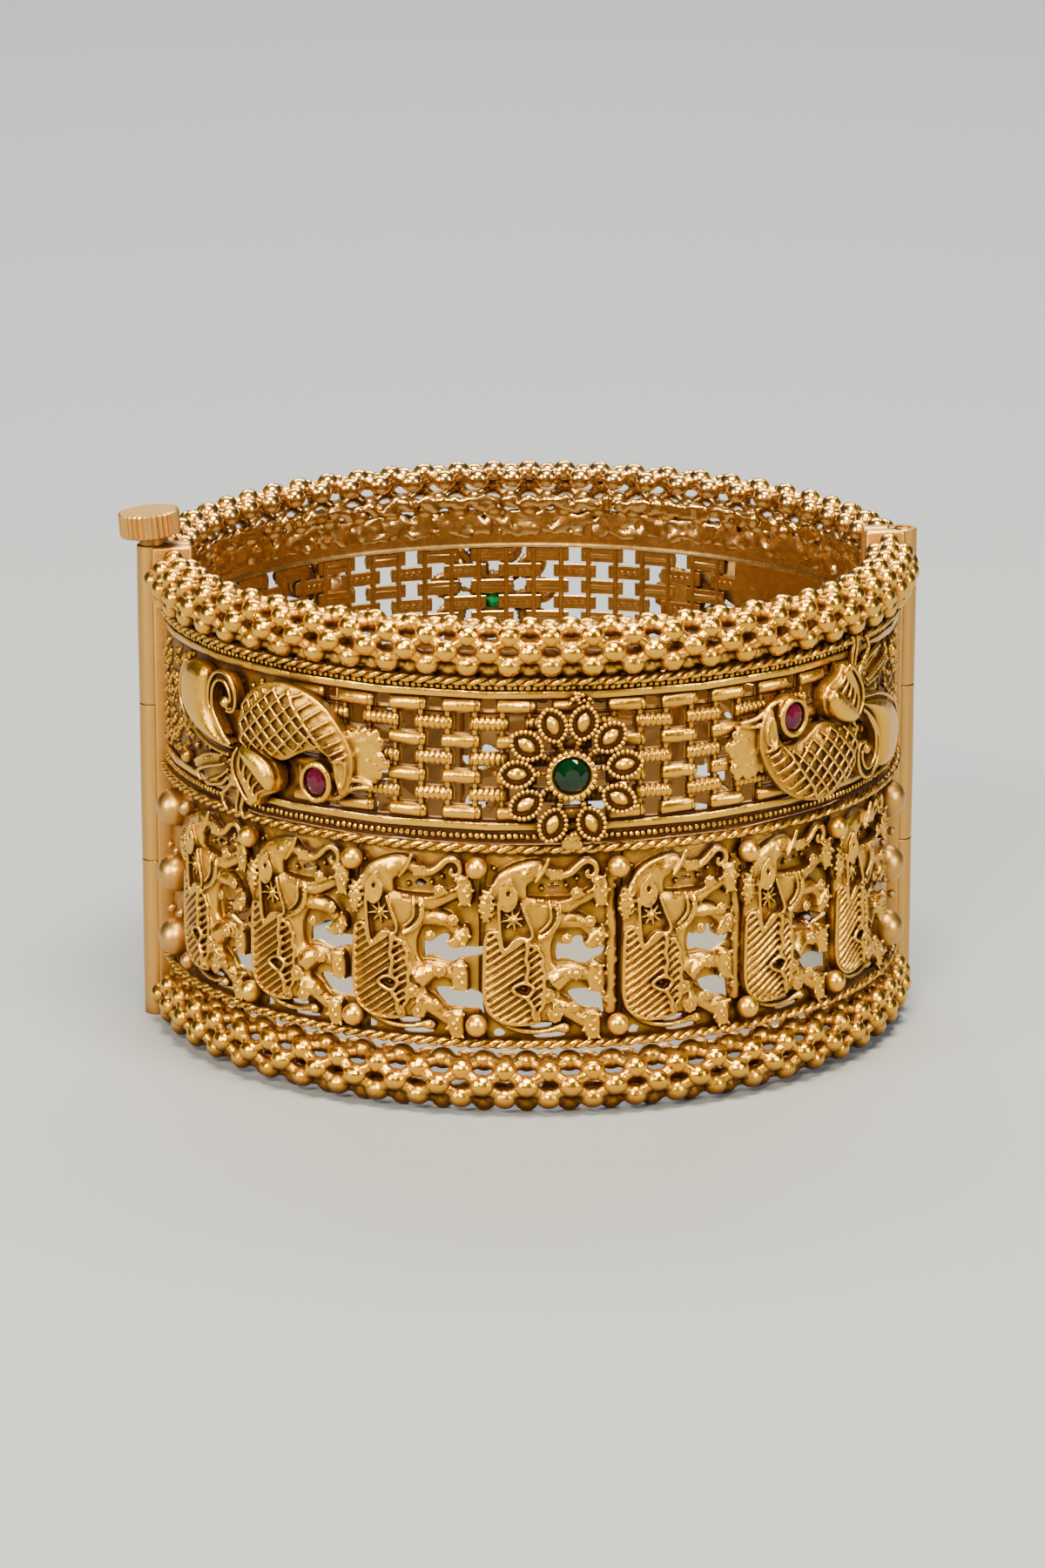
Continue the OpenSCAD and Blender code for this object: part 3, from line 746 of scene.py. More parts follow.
def rope(z):
    steps = 10
    strands = []
    for phase in (0.0, math.pi):
        turn = [(ROPE_TURN * (i / steps - 0.5), -STRAND_OFF * math.cos(2 * math.pi * i / steps + phase),
                 STRAND_OFF * math.sin(2 * math.pi * i / steps + phase), 1.0) for i in range(steps + 1)]
        strands.append(wire(turn, STRAND_R, caps=False))
    count = int(ROPE_LENGTH / ROPE_TURN)
    line = repeated(joined(strands), count, ROPE_LENGTH / count)
    return rolled(moved(line, y=MANDREL - ROPE_RING, z=z))


for place, height in (("top", 37.2), ("middle", 22.95), ("bottom", 6.05)):
    set_halves(rope(height), f"rope_wire_{place}", f"rope_{place}", DRAWN, 60.0)

# %% [markdown]
# The woven band is one casting on the real piece: round rods lie like bricks in a wall, plain and
# ribbed by rows, with square holes between their ends. Here each rod lies on a flat step, and upright
# ribs and short ties join the rows, so the holes stay open. Above and below run a plain strip, set in
# short straight lengths, and a line of granulation. Beside the birds the sheet is closed.

# %% Woven band
ROW_TOP = 35.03  # height of the uppermost row of rods
ROW_PITCH = 1.51
WEAVE_SHIFT = 0.2  # degrees from the half's middle to the weave's
WEAVE_REACH = (-43.0, 58.0)  # the woven part lies between these angles
BAND_LOW, BAND_HIGH = 23.4, 37.05
HOLE_WIDE, ROD_R = 1.4, 0.58
ROD_FLAT = 0.8  # a rod is this much thinner than high
ROD_RING, STEP_RING, TIE_RING, UPRIGHT_RING = 31.98, 31.68, 31.86, 31.6
STRIP_TOP, STRIP_LOW = 36.05, 24.86
STRIP_COUNT, STRIP_STEP = 21, 8.06  # short lengths in a plain strip, and the degrees that each takes
STRIP_RING, GRAIN_RING, SOLDER_RING = 31.9, 32.02, 31.45
GRAIN_ROWS, GRAIN_COUNT, GRAIN_END = (36.63, 23.97), 180, 86.0
SHEET_END = 86.5  # angle where the sheets behind stop
SOLDER_LUMPS, SOLDER_STEP = 106, 1.62


def weave_cells(rows, rod_step):
    """Angle and height of every rod, and whether it is ribbed. A rod stands over the next row's hole."""
    top = ROW_TOP - (7 - rows) * ROW_PITCH
    rods = []
    for row in range(rows):
        for j in range(-40, 41):
            angle = WEAVE_SHIFT + j * rod_step / 2
            if (j + row) % 2 == 0 and WEAVE_REACH[0] < angle < WEAVE_REACH[1]:
                rods.append((angle, top - row * ROW_PITCH, row % 2 == 1))
    return rods


def rod(ribbed, length):
    half, r = length / 2, ROD_R
    profile = [(-half, 0), (-half, 0.38), (-half + 0.07, 0.49), (-half + 0.19, r)]
    if ribbed:
        ribs = 5
        pitch = (2 * half - 0.8) / ribs
        for i in range(ribs):
            start = -half + 0.3 + i * pitch
            profile += [(start, r - 0.1), (start + 0.25 * pitch, r), (start + 0.75 * pitch, r)]
        profile.append((half - 0.5, r - 0.1))
    else:
        profile.append((half - 0.5, r))
    profile += [(half - 0.42, r - 0.09), (half - 0.33, r), (half - 0.09, 0.5), (half, 0.38), (half, 0)]
    return turned(profile, 12)


def woven_parts(rows, rod_step):
    """Rods, the flat step behind each, and the upright ribs that tie the rows together."""
    length = math.radians(rod_step) * MANDREL - HOLE_WIDE
    plain, ribbed = rod(False, length), rod(True, length)
    step = block((length + 0.2, 0.26, 1.28), 0.06)
    top = ROW_TOP - (7 - rows) * ROW_PITCH + 0.7
    upright = block((0.46, 0.3, top - STRIP_LOW), 0.1)
    tie = turned([(-0.75, 0), (-0.75, 0.2), (-0.3, 0.25), (0.3, 0.25), (0.75, 0.2), (0.75, 0)], 8, "Z")
    flatten = Matrix.Diagonal((1, ROD_FLAT, 1, 1))
    rng = random.Random(3)
    parts = []
    for angle, z, is_ribbed in weave_cells(rows, rod_step):
        lean = Matrix.Rotation(rng.uniform(-0.03, 0.03), 4, "Y")
        at = on_ring(angle + rng.uniform(-0.1, 0.1), ROD_RING, z + rng.uniform(-0.04, 0.04))
        parts.append(copy_at(ribbed if is_ribbed else plain, at @ lean @ flatten))
        parts.append(copy_at(step, on_ring(angle, STEP_RING, z)))
        if z > STRIP_LOW + 2:
            for side in (-1, 1):
                at = on_ring(angle + side * rod_step / 4, TIE_RING, z - ROW_PITCH / 2)
                parts.append(copy_at(tie, at))
    j = math.ceil((WEAVE_REACH[0] - WEAVE_SHIFT) / rod_step * 2)
    while WEAVE_SHIFT + (j + 0.5) * rod_step / 2 < WEAVE_REACH[1]:
        angle = WEAVE_SHIFT + (j + 0.5) * rod_step / 2
        parts.append(copy_at(upright, on_ring(angle, UPRIGHT_RING, (top + STRIP_LOW) / 2)))
        j += 1
    discard(plain, ribbed, step, upright, tie)
    return parts


def strip_parts():
    """The plain strips, set in short lengths, and the lines of granulation."""
    places = []
    for z in (STRIP_TOP, STRIP_LOW):
        for i in range(STRIP_COUNT):
            angle = (i - (STRIP_COUNT - 1) / 2) * STRIP_STEP
            places.append(on_ring(angle, STRIP_RING, z) @ Matrix.Rotation(0.016 * (-1) ** i, 4, "Y"))
    bars = copies_at(block((4.66, 0.7, 0.62), 0.12, 2), places)
    places = []
    rng = random.Random(5)
    for z in GRAIN_ROWS:
        for i in range(GRAIN_COUNT):
            angle = (i - (GRAIN_COUNT - 1) / 2 + rng.uniform(-0.1, 0.1)) * 2 * GRAIN_END / GRAIN_COUNT
            at = on_ring(angle, GRAIN_RING, z + rng.uniform(-0.04, 0.04))
            places.append(at @ Matrix.Scale(rng.uniform(0.85, 1.1), 4))
    return bars + copies_at(ball(0.26, segments=8, rings=5), places)


def rough_ground(start, stop, count, seed):
    """Scattered solder grains beside the birds."""
    rng = random.Random(seed)
    places = []
    for _ in range(count):
        size = rng.uniform(0.16, 0.44)
        at = on_ring(rng.uniform(start, stop), STRIP_RING, rng.uniform(25.6, 35.3))
        places.append(at @ Matrix.Scale(size, 4))
    return copies_at(ball(1.0, segments=8, rings=5), places)


def rough_band():
    """Uneven solder on the wrist side, between the rim and the plain strip."""
    rng = random.Random(9)
    places = []
    for up in (35.75, 36.3, 36.9, 37.5):
        for i in range(SOLDER_LUMPS):
            angle = (i - (SOLDER_LUMPS - 1) / 2 + rng.uniform(-0.4, 0.4)) * SOLDER_STEP
            at = on_ring(angle, SOLDER_RING, up + rng.uniform(-0.2, 0.2))
            size = rng.uniform(0.3, 0.52)
            places.append(at @ Matrix.Diagonal((1.5 * size, 0.15 + 0.7 * size, size, 1)))
    return [fused(copies_at(ball(1.0, segments=8, rings=5), places), voxel=0.18, faces=8000, soften=2)]


def band_patina_shade(band):
    """How dark each point of the band is painted, as antique finish and as shade: all that lies below the
    rods, but nothing on the wrist side.
    """
    values = []
    for v in band.data.vertices:
        lift = math.hypot(v.co.x, v.co.y) - MANDREL
        angle = math.degrees(math.atan2(v.co.x, -v.co.y))
        woven = WEAVE_REACH[0] < angle < WEAVE_REACH[1] and 25.4 < v.co.z < 35.5
        most, fade = (1.2, 0.25) if woven else (2.6, 0.1)
        inward = v.co.x * v.normal.x + v.co.y * v.normal.y < -16
        values.append(0.0 if inward else max(0.0, min(most, (0.15 - lift) / fade)))
    return values


def weave(rows, rod_step):
    left, right = WEAVE_REACH
    parts = woven_parts(rows, rod_step) + strip_parts()
    for start, stop, z1, z2, high in ((-SHEET_END, SHEET_END, 35.55, BAND_HIGH, -0.1),
                                      (-SHEET_END, SHEET_END, BAND_LOW, 25.35, -0.1),
                                      (-SHEET_END, left, 25.2, 35.7, -0.12),
                                      (right, SHEET_END, 25.2, 35.7, -0.12)):
        parts.append(curved_sheet(start, stop, z1, z2, high - 0.4, high))
    if rows < 7:
        parts.append(curved_sheet(left - 1, right + 1, 34.25, 35.7, -0.52, -0.05))
    parts.append(rolled(strand([(x * 0.5, 34.45) for x in range(-96, 97, 4)], 0.22, -0.52, steps=1)))
    parts += rough_band()
    parts += rough_ground(-86, -70, 160, 1) + rough_ground(-70, -50, 60, 2)
    parts += rough_ground(62, 86, 170, 3)
    band = joined(parts)
    return kept_values(band, "recess", band_patina_shade(band))


for half, rows, rod_step in (("front", 7, 8.2), ("back", 6, 9.3)):
    band = placed(weave(rows, rod_step), place_matrix(half))
    set_gold(band, half, "woven_sheet", "weave_band", CAST, 35.0)

# %% [markdown]
# Seven elephants stand round each half. All are castings of one relief, so it is modelled in two
# moulds, with and without a post beside it, and each mould is copied. A flat ground comes first, then
# body, head and feet as swelling cushions, and then the chased lines as wires laid on them. A voxel
# Remesh melts these into one casting, and a Boolean cuts its openings.
# Points are (x from the cell's middle, z above the table).

# %% Elephant: outlines
BODY_LINE = [(-4.9, 19.2), (-5.3, 17.6), (-5.56, 15.4), (-5.66, 13.0), (-5.68, 10.8), (-5.5, 9.5),
             (-5.0, 8.5), (-3.9, 7.85), (-2.3, 7.75), (-0.9, 8.0), (0.2, 8.1), (0.9, 8.7), (1.3, 9.6),
             (0.9, 10.8), (1.1, 12.2), (0.4, 13.2), (0.2, 14.6), (0.7, 15.9), (1.3, 17.0), (0.9, 18.3),
             (-0.9, 18.7), (-2.6, 18.9)]
CLOTH_LINE = [(-5.3, 15.5), (-5.45, 13.3), (-5.5, 10.8), (-5.28, 9.4), (-4.8, 8.6), (-3.6, 7.95),
              (-2.1, 7.85), (-1.0, 8.05), (-0.8, 8.45), (-0.9, 8.95), (-0.45, 9.6), (-0.58, 10.46),
              (-0.36, 10.96), (-0.42, 11.6), (-0.3, 12.3), (-0.55, 13.0), (-0.45, 13.6), (-0.7, 14.1),
              (-0.95, 14.7), (-1.45, 14.75), (-1.87, 15.3), (-2.47, 15.3), (-3.07, 14.95), (-3.75, 14.2),
              (-4.0, 14.5), (-4.15, 15.3), (-4.5, 15.9)]
HEAD_LINE = [(-5.1, 18.9), (-4.85, 19.9), (-4.3, 20.85), (-3.1, 21.55), (-1.65, 21.95), (-0.6, 21.9),
             (-0.25, 21.5), (-0.5, 20.7), (-1.2, 20.2), (-1.85, 19.8), (-1.85, 18.8), (-2.6, 18.5),
             (-3.1, 17.8), (-4.1, 17.8), (-4.6, 18.4)]
EAR_LINE = [(-4.15, 19.2), (-3.9, 19.85), (-3.25, 20.45), (-3.05, 19.85), (-2.68, 19.2), (-2.8, 18.35),
            (-3.4, 17.75), (-3.98, 18.1)]
EAR_DROP = [(-3.55, 19.65), (-3.27, 20.0), (-3.18, 19.35), (-3.42, 18.9), (-3.68, 19.3)]
FEET = [[(3.7, 20.2), (4.75, 20.6), (5.2, 19.4), (4.95, 18.1), (4.0, 18.05)],
        [(3.0, 14.9), (4.5, 16.4), (4.95, 15.4), (4.5, 14.6), (3.4, 14.25)],
        [(3.4, 12.9), (4.6, 12.85), (4.68, 10.5), (3.4, 10.8)],
        [(2.9, 8.4), (3.3, 8.8), (4.4, 8.6), (4.35, 6.6), (3.4, 6.45), (2.9, 7.3)]]
HOLES = [[(0.75, 14.7), (1.3, 14.6), (2.3, 15.25), (2.95, 15.2), (3.2, 14.4), (4.5, 14.3), (4.95, 14.3),
          (4.75, 13.6), (4.0, 13.25), (3.2, 12.85), (2.3, 13.05), (1.4, 13.35), (0.7, 13.3)],
         [(1.7, 10.5), (3.2, 10.7), (4.5, 10.4), (4.8, 9.1), (4.85, 8.4), (4.3, 8.9), (3.3, 9.0),
          (2.5, 9.35)],
         [(-1.8, 7.6), (-0.8, 7.78), (0.3, 7.75), (0.1, 7.42), (-1.3, 7.3)],
         [(-1.3, 6.7), (-0.3, 7.0), (1.25, 6.98), (1.4, 6.6), (-0.8, 6.45)],
         [(-4.7, 7.0), (-4.3, 7.25), (-3.8, 6.98), (-3.95, 6.6), (-4.7, 6.6)],
         [(-0.15, 19.55), (0.4, 19.95), (1.0, 19.55), (0.4, 19.25)]]
WAVY = [(-1.87, 15.3), (-1.8, 14.4), (-1.95, 13.6), (-1.72, 12.9), (-1.92, 12.0), (-1.76, 11.5)]
WAVY_LOW = [(-1.88, 10.4), (-1.6, 9.9), (-1.3, 9.4), (-1.35, 8.8), (-1.1, 8.3)]
DIAMOND = [(-3.08, 11.0), (-2.2, 11.6), (-1.28, 11.15), (-1.9, 10.35)]
FRAME_LEFT = [(-4.2, 18.6), (-4.2, 17.6), (-4.1, 15.8), (-3.85, 14.3), (-3.6, 14.2), (-3.07, 15.0),
              (-2.47, 15.4), (-1.65, 15.3), (-1.37, 15.85), (-1.85, 17.1), (-2.35, 18.5)]
TRUNK = [(-0.3, 21.15, 1.3), (0.2, 20.9, 1.25), (0.8, 20.68, 1.15), (1.6, 20.8, 1.05), (2.25, 21.25, 1.0),
         (2.75, 21.75, 0.95), (3.3, 21.95, 0.9), (3.85, 21.7, 0.85), (4.1, 21.1, 0.78), (3.85, 20.6, 0.7),
         (3.4, 20.5, 0.62), (3.2, 20.8, 0.55), (3.4, 21.1, 0.5)]
TUSK = [(-1.2, 20.2, 0.8), (-0.5, 21.2, 1.0), (0.0, 22.35, 0.85)]
LEG_1 = [(-0.9, 18.1, 1.0), (1.1, 17.95, 1.1), (2.5, 18.4, 0.85), (4.0, 19.1, 0.75)]
LEG_2 = [(0.5, 16.6, 1.0), (1.9, 16.75, 1.1), (3.0, 16.5, 0.95), (3.8, 15.6, 0.8)]
LEG_3 = [(0.3, 11.4, 1.7), (1.1, 12.0, 1.5), (2.1, 12.2, 1.05), (3.5, 11.9, 0.85)]
LEG_4 = [(0.3, 9.4, 1.7), (1.3, 9.2, 1.3), (2.1, 8.6, 1.0), (3.4, 7.7, 0.85)]
CHEST_IN = [(0.05, 18.4), (0.15, 17.2), (-0.2, 16.5), (-0.85, 15.95)]
CHEST_OUT = [(0.75, 18.45), (0.95, 17.1), (0.3, 15.95), (-0.9, 15.3)]
TAIL = [(-4.5, 8.3, 1.1), (-3.7, 7.7, 1.1), (-2.3, 7.2, 1.0), (-1.2, 7.08, 1.0), (-0.2, 7.15, 1.0),
        (0.65, 7.4, 1.2), (1.3, 7.45, 1.9), (1.75, 7.2, 1.2)]
POST = [(5.2, 21.2), (5.4, 17.9), (5.5, 14.4), (5.4, 11.2), (5.5, 9.3), (5.35, 8.4)]
ROSETTES = [(1.5, 15.3, 0.36), (3.45, 16.75, 0.4), (2.3, 12.3, 0.45), (-0.1, 10.4, 0.5), (0.5, 8.7, 0.5),
            (2.3, 19.25, 0.4), (2.15, 9.4, 0.4)]
GROUND = -0.34  # height of the ground's front above the mandrel
CELL_SIZE = (0.97, 1, 1)  # a plate is a little narrower than drawn
MOULD_FACES = 400000  # a mould keeps its fine lines, and its casts are thinned


def granules(places, radius, lift):
    """Small balls at (x, z) places; the height is a number or a function of x and z."""
    return [moved(ball(radius, segments=8, rings=6), x, -(lift(x, z) if callable(lift) else lift), z)
            for x, z in places]


def rosette(x, z, r, lift):
    ring = [(x + r * math.cos(a * math.pi / 4), z + r * math.sin(a * math.pi / 4)) for a in range(8)]
    return granules(ring, 0.36 * r + 0.03, lift + 0.1) + granules([(x, z)], 0.5 * r, lift + 0.22)


def spiral(x, z, wide, high, count):
    """Places spread evenly over an oval."""
    spots = [(math.sqrt((i + 0.5) / count), i * 2.4) for i in range(count)]
    return [(x + wide * r * math.cos(a), z + high * r * math.sin(a)) for r, a in spots]


def carved(piece, outline, floor):
    """Sinks a panel with an outline into a part, down to a floor height."""
    return cut_away(piece, slab(outline, floor, 3.0, 0.03))


def above(lift, more):
    return lambda x, z: lift(x, z) + more


# %% Elephant: one casting
def cloth_parts(base):
    """The saddle-cloth: slanting ridges with deep grooves, a border, wavy lines and an open diamond."""
    parts = []
    way = (math.cos(math.radians(35.5)), math.sin(math.radians(35.5)))
    cloth = [p[:2] for p in smoothed(CLOTH_LINE)]
    panel = [p[:2] for p in smoothed(DIAMOND)]
    for i in range(-12, 24):
        at = (-3.0, 11.0 + 0.7 * i)
        for a, b in spans(cloth, at, way):
            ends = [a, b]
            for c, d in spans(panel, at, way):
                if a[0] < c[0] < b[0]:
                    ends = [a, c, d, b]
            for start, stop in zip(ends[::2], ends[1::2]):
                parts.append(strand(between(start, stop, 5), 0.17, above(base, 0.14), steps=1))
    parts.append(strand(CLOTH_LINE, 0.17, above(base, 0.2), closed=True))
    for line in (WAVY, WAVY_LOW):
        parts.append(strand(line, 0.19, above(base, 0.42)))
    parts.append(strand(DIAMOND, 0.18, above(base, 0.4), closed=True))
    parts += granules([(-2.15, 11.0)], 0.2, above(base, -0.1))
    return parts


def head_parts():
    head, base = cushion(HEAD_LINE, -0.5, 0.2, 0.9, 0.42)
    ear = carved(slab(EAR_LINE, 0.3, 0.92, 0.14), EAR_DROP, 0.7)
    parts = [head, ear, strand(EAR_LINE, 0.1, 0.9, closed=True), strand(EAR_DROP, 0.09, 0.92, closed=True)]
    parts += granules([(-3.45, 19.5)], 0.12, 0.76)
    parts += granules([(-2.0, 20.75)], 0.17, above(base, 0.03))
    parts.append(strand([(-2.35, 20.6), (-2.05, 21.0), (-1.65, 20.85)], 0.08, above(base, 0.04)))
    parts += [strand(TUSK, 0.21, 0.75), strand(TRUNK, 0.37, 0.22, around=2)]
    for x in (0.1, 0.4, 0.7, 1.0):
        parts.append(strand([(x - 0.03, 20.35), (x + 0.08, 20.85), (x + 0.02, 21.35)], 0.1, 0.6))
    return parts


def leg_parts():
    parts = []
    for leg in (LEG_1, LEG_2, LEG_3, LEG_4):
        parts.append(strand(leg, 0.66, -0.12, around=2))
    for foot in FEET:
        parts.append(cushion(foot, -0.5, 0.3, 0.5, 0.32)[0])
        line = smoothed(foot, steps=2)
        parts += granules(line[::2], 0.16, 0.58)
        middle = (sum(p[0] for p in foot) / len(foot), sum(p[1] for p in foot) / len(foot))
        spots = [(middle[0] + dx, middle[1] + dz) for dx, dz in ((0, 0), (0.3, 0.35), (0.25, -0.4))]
        parts += granules(spots, 0.15, 0.68)
    top_edge = smoothed([(p[0], p[1] + 0.5) for p in LEG_1], False, 4)
    parts += granules([p[:2] for p in top_edge], 0.19, 0.5)
    for x, z, r in ROSETTES:
        parts += rosette(x, z, r, 0.5)
    return parts


def elephant_parts(post):
    cell = [(-5.42, 5.45), (5.6, 5.45), (5.6, 23.1), (-5.42, 23.1)]
    lap = [(5.0, 5.5), (6.6, 5.5), (6.6, 23.05), (5.0, 23.05)]
    parts = [slab(cell, -0.68, GROUND, 0.06, soft=False), slab(lap, -0.8, -0.5, 0.06, soft=False)]
    body, base = cushion(BODY_LINE, -0.5, 0.12, 1.2, 0.42)
    carved(body, FRAME_LEFT, 0.22)
    carved(body, DIAMOND, 0.22)
    parts.append(body)
    parts += cloth_parts(base)
    parts.append(strand(FRAME_LEFT, 0.17, above(base, 0.22)))
    parts += granules([(-3.0, 16.95)], 0.24, 0.62)
    for i in range(8):
        a = math.radians(45 * i + 8)
        ray = [(-3.0 + r * math.cos(a), 16.95 + r * math.sin(a), k) for r, k in ((0.2, 0.8), (0.95, 1.1))]
        parts.append(strand(ray, 0.135, 0.5))

    def crest_lift(x, z):
        return 0.05 + 0.62 * math.sqrt(max(0.0, 1 - ((x + 5.25) / 0.85) ** 2 - ((z - 18.1) / 1.65) ** 2))

    parts.append(moved(ball(1.0, segments=16, rings=10), -5.25, 0.05, 18.1, size=(0.72, 0.6, 1.45)))
    parts += granules(spiral(-5.25, 18.1, 0.74, 1.45, 30), 0.18, above(crest_lift, 0.16))
    parts += granules([(-4.9, 19.45), (-4.5, 19.1), (-5.15, 19.2), (-4.75, 19.8)], 0.2, 0.45)
    parts += head_parts()
    parts += leg_parts()
    parts += [strand(CHEST_IN, 0.15, above(base, 0.28)), strand(CHEST_OUT, 0.15, above(base, 0.28))]
    inner, outer = smoothed(CHEST_IN, False, 4), smoothed(CHEST_OUT, False, 4)
    for a, b in zip(inner[1:], outer[1:]):
        middle = ((a[0] + 2 * b[0]) / 3, (a[1] + 2 * b[1]) / 3)
        parts += granules([middle], 0.15, above(base, 0.22))
    parts.append(strand(TAIL, 0.28, 0.0))
    if post:
        parts.append(strand(POST, 0.58, -0.5, around=2))
        rng = random.Random(23)
        spots = [(5.4 + rng.uniform(-0.5, 0.5), rng.uniform(8.6, 20.8)) for _ in range(70)]
        parts += granules(spots, 0.18, -0.1)
    parts += granules([(-4.7, 21.2), (-0.6, 19.5), (1.5, 19.75), (2.4, 20.3)], 0.22, -0.1)
    return parts


def elephant(post):
    made = moved(joined(elephant_parts(post)), size=CELL_SIZE)
    cutters = []
    for k, hole in enumerate(HOLES):
        if not post and k < 2:
            hole = [(x + 1.1, z) if x > 4.2 else (x, z) for x, z in hole]
        cutters.append(moved(plate(smoothed(hole), 3.0, 0.02), size=CELL_SIZE))
    return cut_away(fused([made], 0.09, MOULD_FACES), joined(cutters), solver="EXACT")


ELEPHANT_FACES = {"front": 30000, "back": 13000}
PLACES = [-62.4, -42.65, -23.35, -3.2, 17.4, 37.3, 57.0]
POSTED = (3, 4)  # two plates of a half, wider apart, have a post between them and the next
for post in (False, True):
    mould = elephant(post)
    for half in BODY:
        model = thinned(copy_at(mould, Matrix()), ELEPHANT_FACES[half])
        model = rolled(mark_patina_shade(model, spread=0.24, depth=0.15, most=0.95))
        for k, angle in enumerate(PLACES):
            if (k in POSTED) == post:
                twin = copy_at(model, place_matrix(half, angle))
                set_gold(twin, half, f"elephant_relief_{k + 1}", f"elephant_{k + 1}", CAST, 50.0)
        discard(model)
    discard(mould)

# %% [markdown]
# Polished balls sit at the corners of the elephant plates. Their bright curved faces catch
# the light beside the busy relief, so they are kept quite smooth.

# %% Small balls
BALL_R = 0.93
BALL_RING = 32.75
BALL_ANGLES = [-52.4, -32.9, -13.8, 7.0, 28.1, 46.8]
BALL_HEIGHTS = (7.75, 21.38)
ball_places = [on_ring(angle, BALL_RING, z) for angle in BALL_ANGLES for z in BALL_HEIGHTS]
balls = joined(copies_at(ball(BALL_R, segments=20, rings=13), ball_places))
set_halves(balls, "corner_balls", "balls", POLISHED, 180.0)

# %% [markdown]
# The two peacocks are built up: an upright wall, a swelling back covered with a net of wires, a
# wing like a shell, a scroll and a broad tail, all melted into one casting. The right bird is the
# left one turned upside down, as on the real piece. Points are (along, up) from its middle.

# %% Peacock: outlines
BIRD_RING = 34.3  # ring radius at which lengths along a bird are counted
BIRD_BODY = [(-4.77, -0.4), (-5.1, 0.6), (-5.05, 2.0), (-4.65, 3.3), (-3.6, 4.4), (-2.2, 5.2), (-0.9, 5.5),
             (0.8, 5.4), (2.5, 4.95), (4.0, 4.15), (5.1, 3.1), (5.95, 1.95), (6.5, 0.8), (6.8, -0.3),
             (6.65, -1.5), (6.2, -2.7), (5.8, -2.95), (5.4, -1.9), (5.05, -0.5), (4.65, 0.2), (3.8, 0.5),
             (2.65, 0.5), (1.3, -0.05), (-0.05, -0.75), (-1.35, -0.7), (-3.0, -0.4)]
BIRD_NET = [(-4.6, -0.25), (-4.95, 0.7), (-4.9, 2.0), (-4.5, 3.2), (-3.5, 4.25), (-2.15, 5.05),
            (-0.9, 5.35), (0.9, 5.2), (1.53, 4.07), (2.7, 2.75), (3.55, 1.64), (4.25, 0.6), (3.8, 0.6),
            (2.6, 0.6), (1.3, 0.1), (0.0, -0.6), (-1.35, -0.55), (-3.0, -0.25)]
BIRD_BARS = [[(1.1, 4.75), (2.1, 5.05)], [(1.9, 3.75), (3.2, 4.55)], [(2.56, 2.98), (4.05, 4.0)],
             [(3.27, 2.22), (4.9, 3.2)], [(3.84, 1.55), (5.45, 2.4)], [(4.45, 0.9), (5.95, 1.65)],
             [(4.81, 0.2), (6.3, 0.97)], [(5.08, -0.26), (6.55, 0.4)]]
BIRD_NET_EDGE = [(0.75, 5.3), (1.53, 4.07), (2.7, 2.75), (3.55, 1.64), (4.25, 0.62), (5.01, -0.27)]
BIRD_CHEEK = [(5.5, -0.5), (6.0, -0.1), (6.45, -0.5), (6.35, -1.6), (5.95, -2.5), (5.65, -1.8)]
BIRD_WING = [(-5.14, -0.5), (-4.0, -0.3), (-2.65, -0.5), (-1.45, -1.1), (-0.75, -1.9), (-0.6, -2.9),
             (-1.05, -3.8), (-2.2, -4.35), (-3.0, -4.8), (-3.3, -5.45), (-4.0, -5.3), (-5.05, -4.5),
             (-5.8, -3.75), (-6.25, -2.6), (-6.15, -1.5)]
WING_LEAF = [(-4.8, -0.6), (-3.7, -0.42), (-2.3, -0.8), (-1.3, -1.45), (-0.75, -2.4), (-0.9, -3.4),
             (-1.45, -3.75), (-2.4, -3.15), (-3.2, -2.5), (-4.05, -1.8), (-4.65, -1.2)]
WING_RIBS = [[(-5.3, -0.7), (-5.95, -1.7), (-5.9, -2.9), (-5.3, -3.9), (-4.3, -5.0), (-3.7, -5.35)],
             [(-4.95, -1.1), (-5.2, -2.15), (-4.85, -3.35), (-4.05, -4.55), (-3.45, -5.2)],
             [(-4.25, -1.75), (-4.6, -2.55), (-4.4, -3.6), (-3.8, -4.6), (-3.3, -5.15)],
             [(-3.55, -2.5), (-4.0, -3.3), (-3.87, -4.1), (-3.35, -4.95)],
             [(-2.7, -3.1), (-3.4, -3.7), (-3.5, -4.3), (-3.2, -4.9)],
             [(-1.75, -3.65), (-2.55, -3.95), (-3.05, -4.4), (-3.1, -5.0)]]
SCROLL_OUT = [(-6.83, -0.83), (-8.04, -0.06), (-9.31, 1.07), (-10.06, 2.42), (-9.9, 3.84), (-9.2, 4.85),
              (-8.32, 5.27), (-7.29, 5.21), (-6.5, 4.61), (-6.1, 3.69), (-6.06, 2.7), (-6.56, 2.1),
              (-7.37, 2.08)]
SCROLL_IN = [(-7.43, -0.57), (-8.45, 0.61), (-9.29, 1.7), (-9.48, 2.92), (-9.23, 3.84), (-8.56, 4.48),
             (-7.71, 4.57), (-7.11, 4.12), (-6.73, 3.32), (-6.84, 2.8)]
SCROLL_BEAD = (-7.52, 2.75)
TAIL_WIRE = [(-14.4, 5.1), (-15.3, 3.9), (-15.75, 2.6), (-15.6, 1.3), (-14.7, 0.25), (-12.6, -0.78),
             (-10.15, -1.53), (-7.3, -1.82)]
